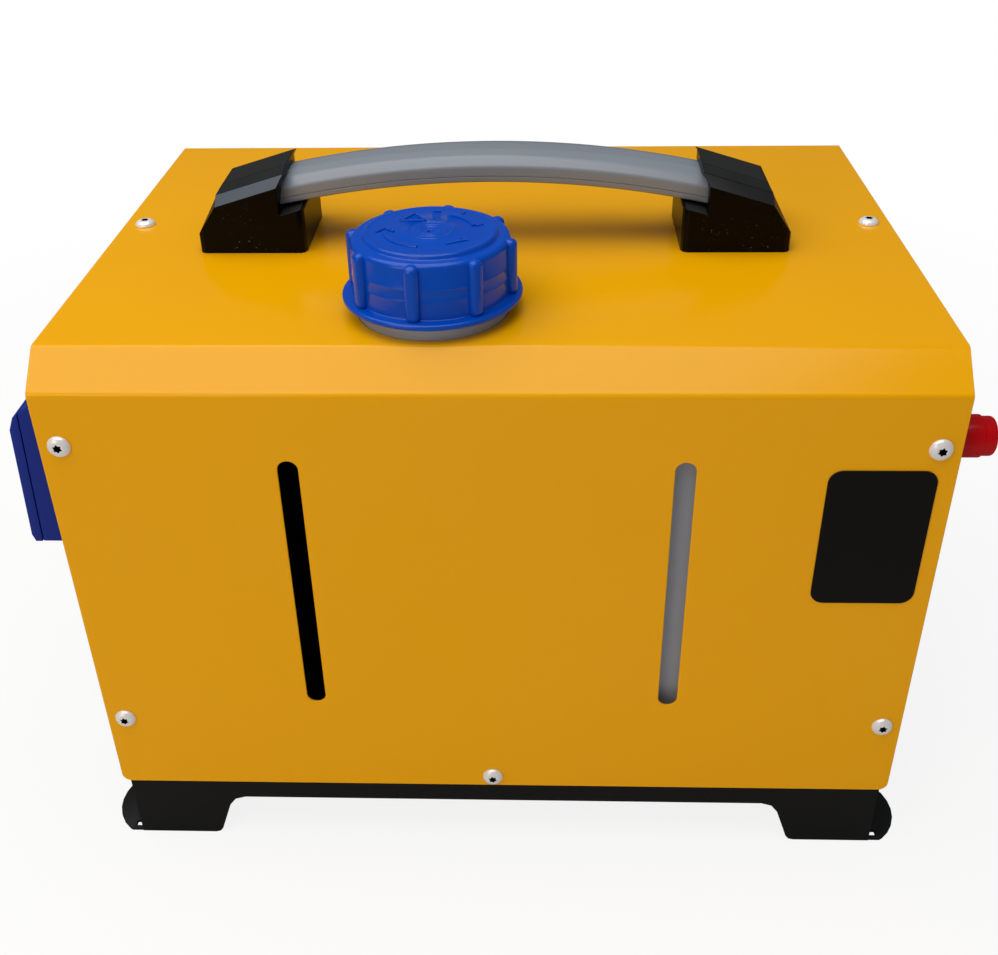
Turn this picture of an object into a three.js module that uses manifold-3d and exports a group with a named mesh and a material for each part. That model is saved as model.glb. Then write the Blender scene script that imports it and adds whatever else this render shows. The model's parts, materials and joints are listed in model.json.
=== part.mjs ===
// Portable diesel air heater: a folded sheet case on a base tray with four legs, a carrying handle,
// a fuel tank with a screw cap, a fan heater unit, a control housing and two power terminals.
// Millimetres, X to the right, Y to the back, Z up, origin on the ground under the middle of the case.

import * as THREE from 'three';
import { mergeVertices } from 'three/addons/utils/BufferGeometryUtils.js';
import Module from 'manifold-3d';

const wasm = await Module();
wasm.setup();

// ---- Driving dimensions ----

const GAP = 0.3; // clearance between pieces that touch
const THROUGH = 4; // how far a cutting tool runs past the wall it cuts

// Case
const CASE_LENGTH = 380;
const CASE_DEPTH = 288;
const CASE_TOP = 274;
const COVER_BOTTOM = 38.5;
const COVER_SHEET = 1.2;
const FOLD_DEPTH = 15.9; // sloping fold between front face and top, along Y
const FOLD_DROP = 14.4; // the same fold, along Z
const FOLD_RADIUS = 2.5;
const COVER_CORNER_RADIUS = 4.5;
const TRIM_X = -4; // handle, sight slots and lower middle screw share this line

// Sight slots in the front face
const SLOT_SPREAD = 82.9; // from the trim line
const SLOT_WIDTH = 8.8;
const SLOT_BOTTOM = 93.5;
const SLOT_TOP = 228.2;

// Label plate
const LABEL_X = CASE_LENGTH / 2 - 30;
const LABEL_Z = 190.5;
const LABEL_WIDTH = 45;
const LABEL_HEIGHT = 69;
const LABEL_RADIUS = 6;
const LABEL_THICKNESS = 0.5;

// Cover screws
const SCREW_RADIUS = 2.4;
const SCREW_HEAD_RADIUS = 4.9;
const SCREW_HEAD_HEIGHT = 2.7;
const SCREW_LENGTH = 6;
const SCREW_SIDE_X = CASE_LENGTH / 2 - 9;
const SCREW_UPPER_Z = 235.4;
const SCREW_LOWER_Z = 81.7;
const SCREW_MIDDLE_Z = 44.9;
const SCREW_TOP_X = CASE_LENGTH / 2 - 10.5;
const SCREW_TOP_Y = 6;

// Base tray
const TRAY_SHEET = 1.5;
const TRAY_LENGTH = CASE_LENGTH - 6;
const TRAY_FLOOR_Z = 26.2;
const SKIRT_TOP = 54;
const FRONT_LEG_FOOT_X = TRAY_LENGTH / 2 - 41.3; // inner end of a front leg's foot, from the middle
const FRONT_LEG_ROOT_X = TRAY_LENGTH / 2 - 50.5; // where its slope meets the tray
const SIDE_LEG_FOOT = 48; // length of a side leg's foot
const SIDE_LEG_ROOT = 57;
const LEG_FOOT_RADIUS = 4;
const LEG_ROOT_RADIUS = 9;
const TAB_RADIUS = 24.1;
const TAB_INSET_X = 8; // centre of the tab's arc, inwards from the side skirt
const TAB_INSET_Y = 20; // and back from the front skirt
const RELIEF_RADIUS = 1.8;
const RELIEF_INSET = 4;
const RELIEF_HEIGHT = 1;
const NOTCH_DEPTH = 0.8;

// End panels
const PANEL_SHEET = 1.2;
const PANEL_FLANGE = 15;

// Handle
const HANDLE_Y = -6;
const FOOT_INNER = 88; // from the trim line
const FOOT_OUTER = 139;
const FOOT_DEPTH = 44;
const FOOT_FACE_TOP = 31.5; // top of the flat face at the hood mouth
const FOOT_LOW_EDGE = 22.5; // the same edge at the outer end
const FOOT_LOW_EDGE_REACH = 129.2;
const FOOT_WALL_TOP = 8.5; // top of the upright outer wall
const HOOD_MOUTH = 99.5;
const LEDGE_LOW = 18.2;
const LEDGE_HIGH = 21.4;
const HOOD_RISE = [0, 4, 6]; // height of the hood's facets above the flat face
const HOOD_INSET = [0, 5.5, 14]; // and their distance in from the flat face
const FOOT_CORNER_RADIUS = 3;
const GRIP_WIDTH = 32;
const GRIP_SIDE = 7.6;
const GRIP_CROWN = 5;
const GRIP_APEX = 38.4; // top edge of the grip's side above the case at mid span
const GRIP_ARC_RADIUS = 476;
const GRIP_HALF_SPAN = 111;
const STRIP_WIDTH = 20;
const STRIP_THICKNESS = 2;
const STRIP_HALF_SPAN = 124;
const STRIP_HEIGHT = 2.8; // bottom of the strip above the bottom of the grip
const HANDLE_BOLT_REACH = 118;
const HANDLE_BOLT_RADIUS = 3;
const HANDLE_BOLT_LENGTH = 21;
const HANDLE_BOLT_HEAD_RADIUS = 5.5;
const HANDLE_BOLT_HEAD_HEIGHT = 4;

// Fuel tank
const NECK_X = -27.5;
const NECK_Y = 53 - CASE_DEPTH / 2;
const TANK_LEFT = -64;
const TANK_RIGHT = CASE_LENGTH / 2 - 22;
const TANK_FRONT = 7 - CASE_DEPTH / 2;
const TANK_BACK = -45;
const TANK_TOP = 262;
const TANK_WALL = 3;
const TANK_CORNER_RADIUS = 14;
const TANK_EDGE_RADIUS = 7;
const NECK_COLLAR_RADIUS = 32.5;
const NECK_COLLAR_HEIGHT = 7.7; // above the case top
const NECK_THREAD_RADIUS = 28;
const NECK_BORE_RADIUS = 24;
const NECK_HEIGHT = 28; // above the case top

// Fuel cap
const CAP_FLANGE_RADIUS = 38.5;
const CAP_FLANGE_THICKNESS = 2.4;
const CAP_SKIRT_RADIUS = 33.6;
const CAP_SHOULDER_HEIGHT = 35; // above the case top
const CAP_HEIGHT = 38;
const CAP_DISC_RADIUS = 28.5;
const CAP_ROOF = 4.6;
const CAP_THREAD_CLEARANCE = 0.4;
const CAP_RIBS = 8;
const CAP_RIB_WIDTH = 4.6;
const CAP_RIB_REACH = 2.2;
const CAP_RIB_PHASE = THREE.MathUtils.degToRad(-105);
const SEAL_THICKNESS = 2;

// Fuel line
const HOSE_RADIUS = 2.6;
const PICKUP_X = 14;
const PICKUP_Y = TANK_BACK - 15;
const PICKUP_PIPE_RADIUS = 2.5;
const PICKUP_FLANGE_RADIUS = 8;
const PUMP_X = 50 - CASE_LENGTH / 2;
const PUMP_Y = 60 - CASE_DEPTH / 2;
const PUMP_Z = 74;
const PUMP_RADIUS = 14;
const PUMP_LENGTH = 58;
const PUMP_SPIGOT_RADIUS = 3;
const PUMP_SPIGOT_LENGTH = 9;
const PUMP_TILT = THREE.MathUtils.degToRad(20);
const CLAMP_WIDTH = 14;
const CLAMP_WALL = 2.5;
const CLAMP_FOOT_LENGTH = 34;

// Heater unit
const HEATER_Y = 50;
const HEATER_Z = 112;
const HEATER_LENGTH = 320;
const HEATER_WIDTH = 132;
const HEATER_HEIGHT = 124;
const HEATER_WALL = 2.5;
const HEATER_CORNER_RADIUS = 34;
const HEATER_SHOULDER = 16;
const HEATER_INTAKE_RADIUS = 44;
const HEATER_OUTLET_RADIUS = 37.5;
const EXCHANGER_LEFT = -8;
const EXCHANGER_RIGHT = 132;
const EXCHANGER_RADIUS = 38;
const EXCHANGER_WALL = 4;
const FIN_COUNT = 12;
const FIN_HEIGHT = 13;
const FIN_THICKNESS = 2;
const EXCHANGER_FOOT_LENGTH = 96;
const EXCHANGER_FOOT_WIDTH = 72;
const EXCHANGER_FOOT_THICKNESS = 8;
const EXCHANGER_NECK_LENGTH = 78;
const EXCHANGER_NECK_WIDTH = 44;
const EXHAUST_X = 84;
const AIR_X = 38;
const STUB_RADIUS = 12;
const STUB_WALL = 1.5;
const STUB_BOTTOM = 7;
const BURNER_RADIUS = 29;
const BURNER_WALL = 2;
const BURNER_LENGTH = 78;
const BURNER_FLANGE_RADIUS = 42;
const BURNER_FLANGE_THICKNESS = 3;
const GLOW_PLUG_X = 10;
const GLOW_PLUG_RADIUS = 5;
const GLOW_PLUG_LENGTH = 30;
const CHAMBER_DEPTH = 22;
const CHAMBER_WALL = 4;
const MOTOR_RADIUS = 24;
const MOTOR_LENGTH = 46;
const SHAFT_RADIUS = 3;
const BLOWER_RADIUS = 50;
const BLOWER_DEPTH = 20;
const BLOWER_BLADES = 8;
const FAN_RADIUS = 32;
const FAN_DEPTH = 9;
const FAN_BLADES = 8;
const BLADE_THICKNESS = 1.8;
const CONTROL_UNIT_SIZE = [84, 24, 46];
const CONTROL_UNIT_X = 62 - CASE_LENGTH / 2;
const CONTROL_UNIT_Y = -38;

// Ducts on the end panels
const SIDE_REACH = CASE_LENGTH / 2 + 23; // lower edge of the control face, from the middle
const DUCT_WALL = 2;
const DUCT_FLANGE_RADIUS = 54;
const DUCT_FLANGE_THICKNESS = 3;
const DUCT_BEAD = 1.2;
const GRILLE_RIM_RADIUS = 54;
const GRILLE_OPENING_RADIUS = 43;
const GRILLE_THICKNESS = 4;
const GRILLE_RINGS = 3;
const GRILLE_SPOKES = 6;
const GRILLE_BAR = 2.4;

// Control housing on the left end
const CONTROL_FRONT = 20 - CASE_DEPTH / 2;
const CONTROL_BACK = CONTROL_FRONT + 104;
const CONTROL_BOTTOM = 172.2;
const CONTROL_ROOT_TOP = 253.6; // where the sloping top meets the panel
const CONTROL_NOSE_X = SIDE_REACH - 5.1; // outer end of the sloping top
const CONTROL_NOSE_Z = 237.2;
const CONTROL_FACE_TOP_X = SIDE_REACH - 2.6; // control face, upper edge
const CONTROL_FACE_TOP_Z = 231;
const CONTROL_FACE_BOTTOM_Z = 176;
const CONTROL_LIP = 1.2; // lower edge steps in by this much
const BEZEL_THICKNESS = 4.8;
const SCREEN_WIDTH = 62;
const SCREEN_HEIGHT = 27;
const SCREEN_Y = (CONTROL_FRONT + CONTROL_BACK) / 2;
const SCREEN_UP = 38; // centre of the screen above the face's lower edge
const SCREEN_THICKNESS = 2;
const BUTTON_RADIUS = 4.6;
const BUTTON_FLANGE_RADIUS = 5.6;
const BUTTON_FLANGE = 0.8;
const BUTTON_TRAVEL = 1;
const BUTTON_PROUD = 1.4;
const BUTTON_EDGE = 0.6;
const BUTTON_UP = 13;
const BUTTON_PITCH = 17;
const BUTTON_NAMES = ['power', 'down', 'up', 'confirm'];

// Power terminals on the right end
const TERMINAL_Z = 229.9;
const POSITIVE_Y = 20 - CASE_DEPTH / 2;
const NEGATIVE_Y = POSITIVE_Y + 38;
const BUSH_RADIUS = 9.2;
const BUSH_HEIGHT = 4.7;
const BUSH_SPIGOT_RADIUS = 6.6;
const POST_RADIUS = 3;
const POST_LENGTH = 32;
const POST_NUT_RADIUS = 6.2;
const POST_NUT_LENGTH = 6;
const WASHER_RADIUS = 7.6;
const WASHER_THICKNESS = 1.2;
const KNOB_GRIP_RADIUS = 9.2;
const KNOB_TIP_RADIUS = 8.5;
const KNOB_GRIP_LENGTH = 11;
const KNOB_LENGTH = 16.6;

// ---- Sizes worked out from the above ----

const FRONT_Y = -CASE_DEPTH / 2;
const SKIRT_OUTER_Y = CASE_DEPTH / 2 - COVER_SHEET - GAP;
const SKIRT_OUTER_X = TRAY_LENGTH / 2;
const FLOOR_TOP = TRAY_FLOOR_Z + TRAY_SHEET;
const PANEL_OUTER_X = SKIRT_OUTER_X - TRAY_SHEET - GAP;
const PANEL_INNER_X = PANEL_OUTER_X - PANEL_SHEET;
const SHEET_TOP = CASE_TOP - COVER_SHEET - GAP;
const SCREW_HOLE_RADIUS = SCREW_RADIUS + GAP;
const GRIP_CENTRE_Z = CASE_TOP + GRIP_APEX - GRIP_SIDE - GRIP_ARC_RADIUS;
const SHAFT_BORE = SHAFT_RADIUS + GAP;
const CHAMBER_RIGHT = EXCHANGER_LEFT - GAP - BURNER_FLANGE_THICKNESS - GAP;
const MOTOR_RIGHT = CHAMBER_RIGHT - CHAMBER_DEPTH;
const MOTOR_LEFT = MOTOR_RIGHT - MOTOR_LENGTH;
const TERMINAL_BASE_X = PANEL_OUTER_X + GAP;

// ---- Materials ----

const finish = (color, roughness, metalness) => new THREE.MeshStandardMaterial({ color, roughness, metalness });
const yellowPaint = () => finish(0xe59f08, 0.35, 0);
const blackPowder = () => finish(0x1a1a1a, 0.55, 0);
const glossBlack = () => finish(0x0d0d0c, 0.2, 0);
const greySleeve = () => finish(0xa2a8b0, 0.4, 0);
const bluePlastic = () => finish(0x0a3fae, 0.3, 0);
const naturalPlastic = () => finish(0xc4c7ca, 0.45, 0);
const navyPlastic = () => finish(0x14297a, 0.4, 0);
const darkPlastic = () => finish(0x222327, 0.6, 0);
const darkGlass = () => finish(0x10151a, 0.1, 0);
const redPlastic = () => finish(0xa10014, 0.35, 0);
const zinc = () => finish(0xd5d7da, 0.25, 1);
const steel = () => finish(0x9a9ea3, 0.4, 1);
const brass = () => finish(0xc79a45, 0.3, 1);
const castAluminium = () => finish(0xb4b6b8, 0.5, 1);
const rubber = () => finish(0x202020, 0.8, 0);

// ---- Solids ----

/** Turns a closed geometry into a solid that faces outwards. */
function toSolid(geometry) {
  const bare = geometry.clone();
  bare.deleteAttribute('normal');
  bare.deleteAttribute('uv');
  const merged = mergeVertices(bare);
  const vertices = merged.getAttribute('position').array;
  const source = merged.getIndex().array;
  const triangles = [];
  let volume = 0;
  const [a, b, c] = [new THREE.Vector3(), new THREE.Vector3(), new THREE.Vector3()];
  for (let i = 0; i < source.length; i += 3) {
    const [p, q, r] = source.slice(i, i + 3);
    if (p === q || q === r || r === p) continue;
    triangles.push(p, q, r);
    a.fromArray(vertices, 3 * p);
    b.fromArray(vertices, 3 * q);
    c.fromArray(vertices, 3 * r);
    volume += a.dot(b.cross(c));
  }
  if (volume < 0) triangles.reverse();
  const mesh = new wasm.Mesh({
    numProp: 3,
    vertProperties: new Float32Array(vertices),
    triVerts: new Uint32Array(triangles),
  });
  return new wasm.Manifold(mesh);
}

/** Turns a solid back into a geometry with flat facets. */
function toGeometry(solid) {
  const mesh = solid.getMesh();
  const geometry = new THREE.BufferGeometry();
  geometry.setAttribute('position', new THREE.BufferAttribute(new Float32Array(mesh.vertProperties), 3));
  geometry.setIndex(new THREE.BufferAttribute(new Uint32Array(mesh.triVerts), 1));
  geometry.computeVertexNormals();
  return geometry;
}

const join = (first, ...others) => others.reduce((sum, other) => sum.add(other), first);
const cut = (first, ...others) => others.reduce((rest, other) => rest.subtract(other), first);
const common = (first, ...others) => others.reduce((rest, other) => rest.intersect(other), first);

/** Moves a solid by a matrix. */
const placed = (solid, matrix) => toSolid(toGeometry(solid).applyMatrix4(matrix));
const shifted = (solid, x, y, z) => placed(solid, new THREE.Matrix4().makeTranslation(x, y, z));
const mirroredX = (solid) => placed(solid, new THREE.Matrix4().makeScale(-1, 1, 1));
const mirroredY = (solid) => placed(solid, new THREE.Matrix4().makeScale(1, -1, 1));

/** A flat outline from corners [x, y, radius], each radius rounding its corner. */
function outline(corners) {
  const shape = new THREE.Shape();
  corners.forEach(([x, y, radius = 0], i) => {
    const corner = new THREE.Vector2(x, y);
    const before = corners[(i + corners.length - 1) % corners.length];
    const after = corners[(i + 1) % corners.length];
    const back = new THREE.Vector2(before[0], before[1]).sub(corner).normalize();
    const ahead = new THREE.Vector2(after[0], after[1]).sub(corner).normalize();
    const half = Math.acos(THREE.MathUtils.clamp(back.dot(ahead), -1, 1)) / 2;
    const start = back.clone().multiplyScalar(radius / Math.tan(half)).add(corner);
    if (i === 0) shape.moveTo(start.x, start.y);
    else shape.lineTo(start.x, start.y);
    if (radius === 0) return;
    const end = ahead.clone().multiplyScalar(radius / Math.tan(half)).add(corner);
    const centre = back.clone().add(ahead).normalize().multiplyScalar(radius / Math.sin(half)).add(corner);
    const from = Math.atan2(start.y - centre.y, start.x - centre.x);
    const to = Math.atan2(end.y - centre.y, end.x - centre.x);
    shape.absarc(centre.x, centre.y, radius, from, to, back.cross(ahead) > 0);
  });
  return shape;
}

const rectangle = (x0, x1, y0, y1, radius = 0) =>
  outline([[x0, y0, radius], [x1, y0, radius], [x1, y1, radius], [x0, y1, radius]]);

const disc = (x, y, radius) => new THREE.Shape().absarc(x, y, radius, 0, 2 * Math.PI);

const X_AXIS = new THREE.Vector3(1, 0, 0);
const Y_AXIS = new THREE.Vector3(0, 1, 0);
const Z_AXIS = new THREE.Vector3(0, 0, 1);

/** Outline in the YZ plane, run along X. */
function alongX(shape, from, to, curveSegments = 2) {
  const geometry = new THREE.ExtrudeGeometry(shape, { depth: to - from, bevelEnabled: false, curveSegments });
  geometry.applyMatrix4(new THREE.Matrix4().makeBasis(Y_AXIS, Z_AXIS, X_AXIS));
  return toSolid(geometry.translate(from, 0, 0));
}

/** Outline in the XZ plane, run along Y. */
function alongY(shape, from, to, curveSegments = 2) {
  const geometry = new THREE.ExtrudeGeometry(shape, { depth: to - from, bevelEnabled: false, curveSegments });
  geometry.applyMatrix4(new THREE.Matrix4().makeBasis(X_AXIS, Z_AXIS, Y_AXIS.clone().negate()));
  return toSolid(geometry.translate(0, to, 0));
}

/** Outline in the XY plane, run along Z. */
function alongZ(shape, from, to, curveSegments = 2) {
  const geometry = new THREE.ExtrudeGeometry(shape, { depth: to - from, bevelEnabled: false, curveSegments });
  return toSolid(geometry.translate(0, 0, from));
}

const box = (x0, x1, y0, y1, z0, z1) => alongZ(rectangle(x0, x1, y0, y1), z0, z1);

/** A closed profile of [radius, height] turned about Z. */
function turned(profile, segments) {
  const points = [...profile, profile[0]].map(([r, h]) => new THREE.Vector2(r, h));
  return toSolid(new THREE.LatheGeometry(points, segments).rotateX(Math.PI / 2));
}

const Z_TO_X = new THREE.Matrix4().makeRotationY(Math.PI / 2);
const Z_TO_Y = new THREE.Matrix4().makeRotationX(-Math.PI / 2);

const cylinder = (radius, from, to, segments) => turned([[0, from], [radius, from], [radius, to], [0, to]], segments);
const tubeRing = (outer, inner, from, to, segments) =>
  turned([[inner, from], [outer, from], [outer, to], [inner, to]], segments);

/** A solid turned about Z, laid along X through (y, z). */
const onX = (solid, y, z) => placed(solid, new THREE.Matrix4().makeTranslation(0, y, z).multiply(Z_TO_X));
/** A solid turned about Z, stood at (x, y). */
const onZ = (solid, x, y) => shifted(solid, x, y, 0);

/** Samples an open path of [a, b, radius], rounding its corners. */
function roundedPath(corners, steps) {
  const samples = [];
  corners.forEach(([x, y, radius = 0], i) => {
    const corner = new THREE.Vector2(x, y);
    if (radius === 0 || i === 0 || i === corners.length - 1) {
      samples.push(corner);
      return;
    }
    const back = new THREE.Vector2(corners[i - 1][0], corners[i - 1][1]).sub(corner).normalize();
    const ahead = new THREE.Vector2(corners[i + 1][0], corners[i + 1][1]).sub(corner).normalize();
    const half = Math.acos(back.dot(ahead)) / 2;
    const centre = back.clone().add(ahead).normalize().multiplyScalar(radius / Math.sin(half)).add(corner);
    const start = back.multiplyScalar(radius / Math.tan(half)).add(corner).sub(centre);
    const turn = Math.sign(start.cross(corner.clone().sub(centre))) * (Math.PI - 2 * half);
    for (let k = 0; k <= steps; k += 1) {
      samples.push(start.clone().rotateAround(new THREE.Vector2(), (turn * k) / steps).add(centre));
    }
  });
  return samples;
}

/** Section of a folded sheet: a path along its outer face, with the metal on the path's right. */
function foldedSheet(corners, thickness, steps = 3) {
  const outer = roundedPath(corners, steps);
  const inner = outer.map((point, i) => {
    const before = i > 0 ? point.clone().sub(outer[i - 1]).normalize() : null;
    const after = i < outer.length - 1 ? outer[i + 1].clone().sub(point).normalize() : null;
    const first = before ?? after;
    const normal = first.clone().add(after ?? before).normalize();
    const reach = thickness / normal.dot(first);
    return new THREE.Vector2(point.x + normal.y * reach, point.y - normal.x * reach);
  });
  return new THREE.Shape([...outer, ...inner.reverse()]);
}

/** A box with rounded upright corners and rolled top and bottom edges. */
function rolledBox(x0, x1, y0, y1, z0, z1, corner, edge) {
  const shape = rectangle(x0 + edge, x1 - edge, y0 + edge, y1 - edge, corner - edge);
  const geometry = new THREE.ExtrudeGeometry(shape, {
    depth: z1 - z0 - 2 * edge,
    bevelEnabled: true,
    bevelThickness: edge,
    bevelSize: edge,
    bevelSegments: 2,
    curveSegments: 1,
  });
  return toSolid(geometry.translate(0, 0, z0 + edge));
}

// ---- Assembly ----

const heater = new THREE.Group();

/** Adds one named piece and returns its mesh, so that it can be moved and turned. */
function piece(name, solid, material, parent = heater) {
  const mesh = new THREE.Mesh(toGeometry(solid), material);
  mesh.name = name;
  parent.add(mesh);
  return mesh;
}

// ---- Case ----

function caseOutline() {
  const side = CASE_DEPTH / 2;
  const shoulder = CASE_TOP - FOLD_DROP;
  return [
    [-side, COVER_BOTTOM],
    [-side, shoulder, FOLD_RADIUS],
    [FOLD_DEPTH - side, CASE_TOP, FOLD_RADIUS],
    [side - FOLD_DEPTH, CASE_TOP, FOLD_RADIUS],
    [side, shoulder, FOLD_RADIUS],
    [side, COVER_BOTTOM],
  ];
}

/** Rounds one lower corner of the cover, front and rear faces at once. */
function coverCornerCutter(side) {
  const edge = CASE_LENGTH / 2;
  const r = COVER_CORNER_RADIUS;
  const tool = cut(
    box(edge - r, edge + THROUGH, -CASE_DEPTH, CASE_DEPTH, COVER_BOTTOM - THROUGH, COVER_BOTTOM + r),
    alongY(disc(edge - r, COVER_BOTTOM + r, r), -CASE_DEPTH, CASE_DEPTH, 8),
  );
  return side > 0 ? tool : mirroredX(tool);
}

const faceScrews = [
  ['upper_left', -SCREW_SIDE_X, SCREW_UPPER_Z],
  ['upper_right', SCREW_SIDE_X, SCREW_UPPER_Z],
  ['lower_left', -SCREW_SIDE_X, SCREW_LOWER_Z],
  ['lower_right', SCREW_SIDE_X, SCREW_LOWER_Z],
  ['lower_middle', TRIM_X, SCREW_MIDDLE_Z],
];

function screwHoles(radius) {
  const rows = faceScrews.map(([, x, z]) => alongY(disc(x, z, radius), -CASE_DEPTH, CASE_DEPTH, 5));
  const top = [-SCREW_TOP_X, SCREW_TOP_X].map((x) =>
    alongZ(disc(x, SCREW_TOP_Y, radius), SHEET_TOP - SCREW_LENGTH, CASE_TOP + THROUGH, 5));
  return join(...rows, ...top);
}

function sightSlot(x) {
  const half = SLOT_WIDTH / 2;
  const shape = rectangle(x - half, x + half, SLOT_BOTTOM, SLOT_TOP, half - 0.01);
  return alongY(shape, FRONT_Y - THROUGH, FRONT_Y + COVER_SHEET + THROUGH, 2);
}

function buildCover() {
  const half = CASE_LENGTH / 2;
  const shell = alongX(foldedSheet(caseOutline(), COVER_SHEET), -half, half);
  const neckHole = onZ(cylinder(NECK_COLLAR_RADIUS + GAP, SHEET_TOP - THROUGH, CASE_TOP + THROUGH, 32), NECK_X, NECK_Y);
  const boltHoles = [-1, 1].map((side) => onZ(
    cylinder(HANDLE_BOLT_RADIUS + GAP, SHEET_TOP - THROUGH, CASE_TOP + THROUGH, 10),
    TRIM_X + side * HANDLE_BOLT_REACH,
    HANDLE_Y,
  ));
  const slots = [-1, 1].map((side) => sightSlot(TRIM_X + side * SLOT_SPREAD));
  const corners = [-1, 1].map(coverCornerCutter);
  piece('cover', cut(shell, neckHole, ...boltHoles, ...slots, ...corners, screwHoles(SCREW_HOLE_RADIUS)), yellowPaint());
}

function buildLabelPlate() {
  const [w, h] = [LABEL_WIDTH / 2, LABEL_HEIGHT / 2];
  const shape = rectangle(LABEL_X - w, LABEL_X + w, LABEL_Z - h, LABEL_Z + h, LABEL_RADIUS);
  piece('label_plate', alongY(shape, FRONT_Y - LABEL_THICKNESS, FRONT_Y), glossBlack());
}

/** Pan-head screw along +Z, its head's seat at the origin. */
function screwSolid() {
  const dome = SCREW_HEAD_HEIGHT;
  return turned([
    [0, -SCREW_LENGTH],
    [SCREW_RADIUS, -SCREW_LENGTH],
    [SCREW_RADIUS, 0],
    [SCREW_HEAD_RADIUS, 0],
    [SCREW_HEAD_RADIUS, dome * 0.4],
    [SCREW_HEAD_RADIUS * 0.6, dome],
    [0, dome],
  ], 8);
}

function buildCoverScrews() {
  const screw = screwSolid();
  const lift = GAP / 6;
  for (const [face, side] of [['front', -1], ['rear', 1]]) {
    for (const [place, x, z] of faceScrews) {
      const mesh = piece(`${face}_screw_${place}`, screw, zinc());
      mesh.position.set(x, side * (CASE_DEPTH / 2 + lift), z);
      mesh.rotation.x = (side * -Math.PI) / 2;
    }
  }
  for (const [place, x] of [['left', -SCREW_TOP_X], ['right', SCREW_TOP_X]]) {
    piece(`top_screw_${place}`, screw, zinc()).position.set(x, SCREW_TOP_Y, CASE_TOP + lift);
  }
}

// ---- Base tray and end panels ----

/** Opening between two legs of a skirt: flared feet at the ground, rounded roots at the tray. */
function legWindow(foot, root) {
  const flare = foot + 2 * LEG_FOOT_RADIUS;
  return outline([
    [-flare, -THROUGH],
    [flare, -THROUGH],
    [flare, 0],
    [foot, 0, LEG_FOOT_RADIUS],
    [root, TRAY_FLOOR_Z, LEG_ROOT_RADIUS],
    [-root, TRAY_FLOOR_Z, LEG_ROOT_RADIUS],
    [-foot, 0, LEG_FOOT_RADIUS],
    [-flare, 0],
  ]);
}

/** Foot tab at the front right corner: an arc that stands out from the side skirt. */
function footTab() {
  const arc = alongZ(disc(SKIRT_OUTER_X - TAB_INSET_X, TAB_INSET_Y - SKIRT_OUTER_Y, TAB_RADIUS), 0, TRAY_SHEET, 14);
  const room = box(
    SKIRT_OUTER_X - TRAY_SHEET / 2, SKIRT_OUTER_X + TAB_RADIUS,
    GAP - SKIRT_OUTER_Y, 0,
    -THROUGH, THROUGH,
  );
  return common(arc, room);
}

/** Relief hole and corner notch where front skirt, side skirt and tab meet, front right. */
function cornerRelief() {
  const y = RELIEF_INSET - SKIRT_OUTER_Y;
  const hole = onX(cylinder(RELIEF_RADIUS, SKIRT_OUTER_X - THROUGH, SKIRT_OUTER_X + THROUGH, 8), y, RELIEF_HEIGHT);
  const notch = box(
    SKIRT_OUTER_X - NOTCH_DEPTH, SKIRT_OUTER_X + THROUGH,
    -SKIRT_OUTER_Y - THROUGH, NOTCH_DEPTH - SKIRT_OUTER_Y,
    TRAY_FLOOR_Z + NOTCH_DEPTH, FLOOR_TOP + TRAY_SHEET,
  );
  return join(hole, notch);
}

const fourCorners = (solid) => join(solid, mirroredX(solid), mirroredY(solid), mirroredY(mirroredX(solid)));

function buildBaseTray() {
  const [x, y] = [SKIRT_OUTER_X, SKIRT_OUTER_Y];
  const [ix, iy] = [x - TRAY_SHEET, y - TRAY_SHEET];
  const block = box(-x, x, -y, y, 0, SKIRT_TOP);
  const above = box(-ix, ix, -iy, iy, FLOOR_TOP, SKIRT_TOP + THROUGH);
  const below = box(-ix, ix, -iy, iy, -THROUGH, TRAY_FLOOR_Z);
  const betweenFrontLegs = alongY(legWindow(FRONT_LEG_FOOT_X, FRONT_LEG_ROOT_X), -y - THROUGH, y + THROUGH, 1);
  const betweenSideLegs = alongX(legWindow(y - SIDE_LEG_FOOT, y - SIDE_LEG_ROOT), -x - THROUGH, x + THROUGH, 1);
  const tray = cut(block, above, below, betweenFrontLegs, betweenSideLegs);
  const pipeHoles = [EXHAUST_X, AIR_X].map((px) =>
    onZ(cylinder(STUB_RADIUS + GAP, TRAY_FLOOR_Z - THROUGH, FLOOR_TOP + THROUGH, 14), px, HEATER_Y));
  piece(
    'base_tray',
    cut(
      join(tray, fourCorners(footTab())),
      fourCorners(cornerRelief()),
      ...pipeHoles,
      screwHoles(SCREW_HOLE_RADIUS),
    ),
    blackPowder(),
  );
}

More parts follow.
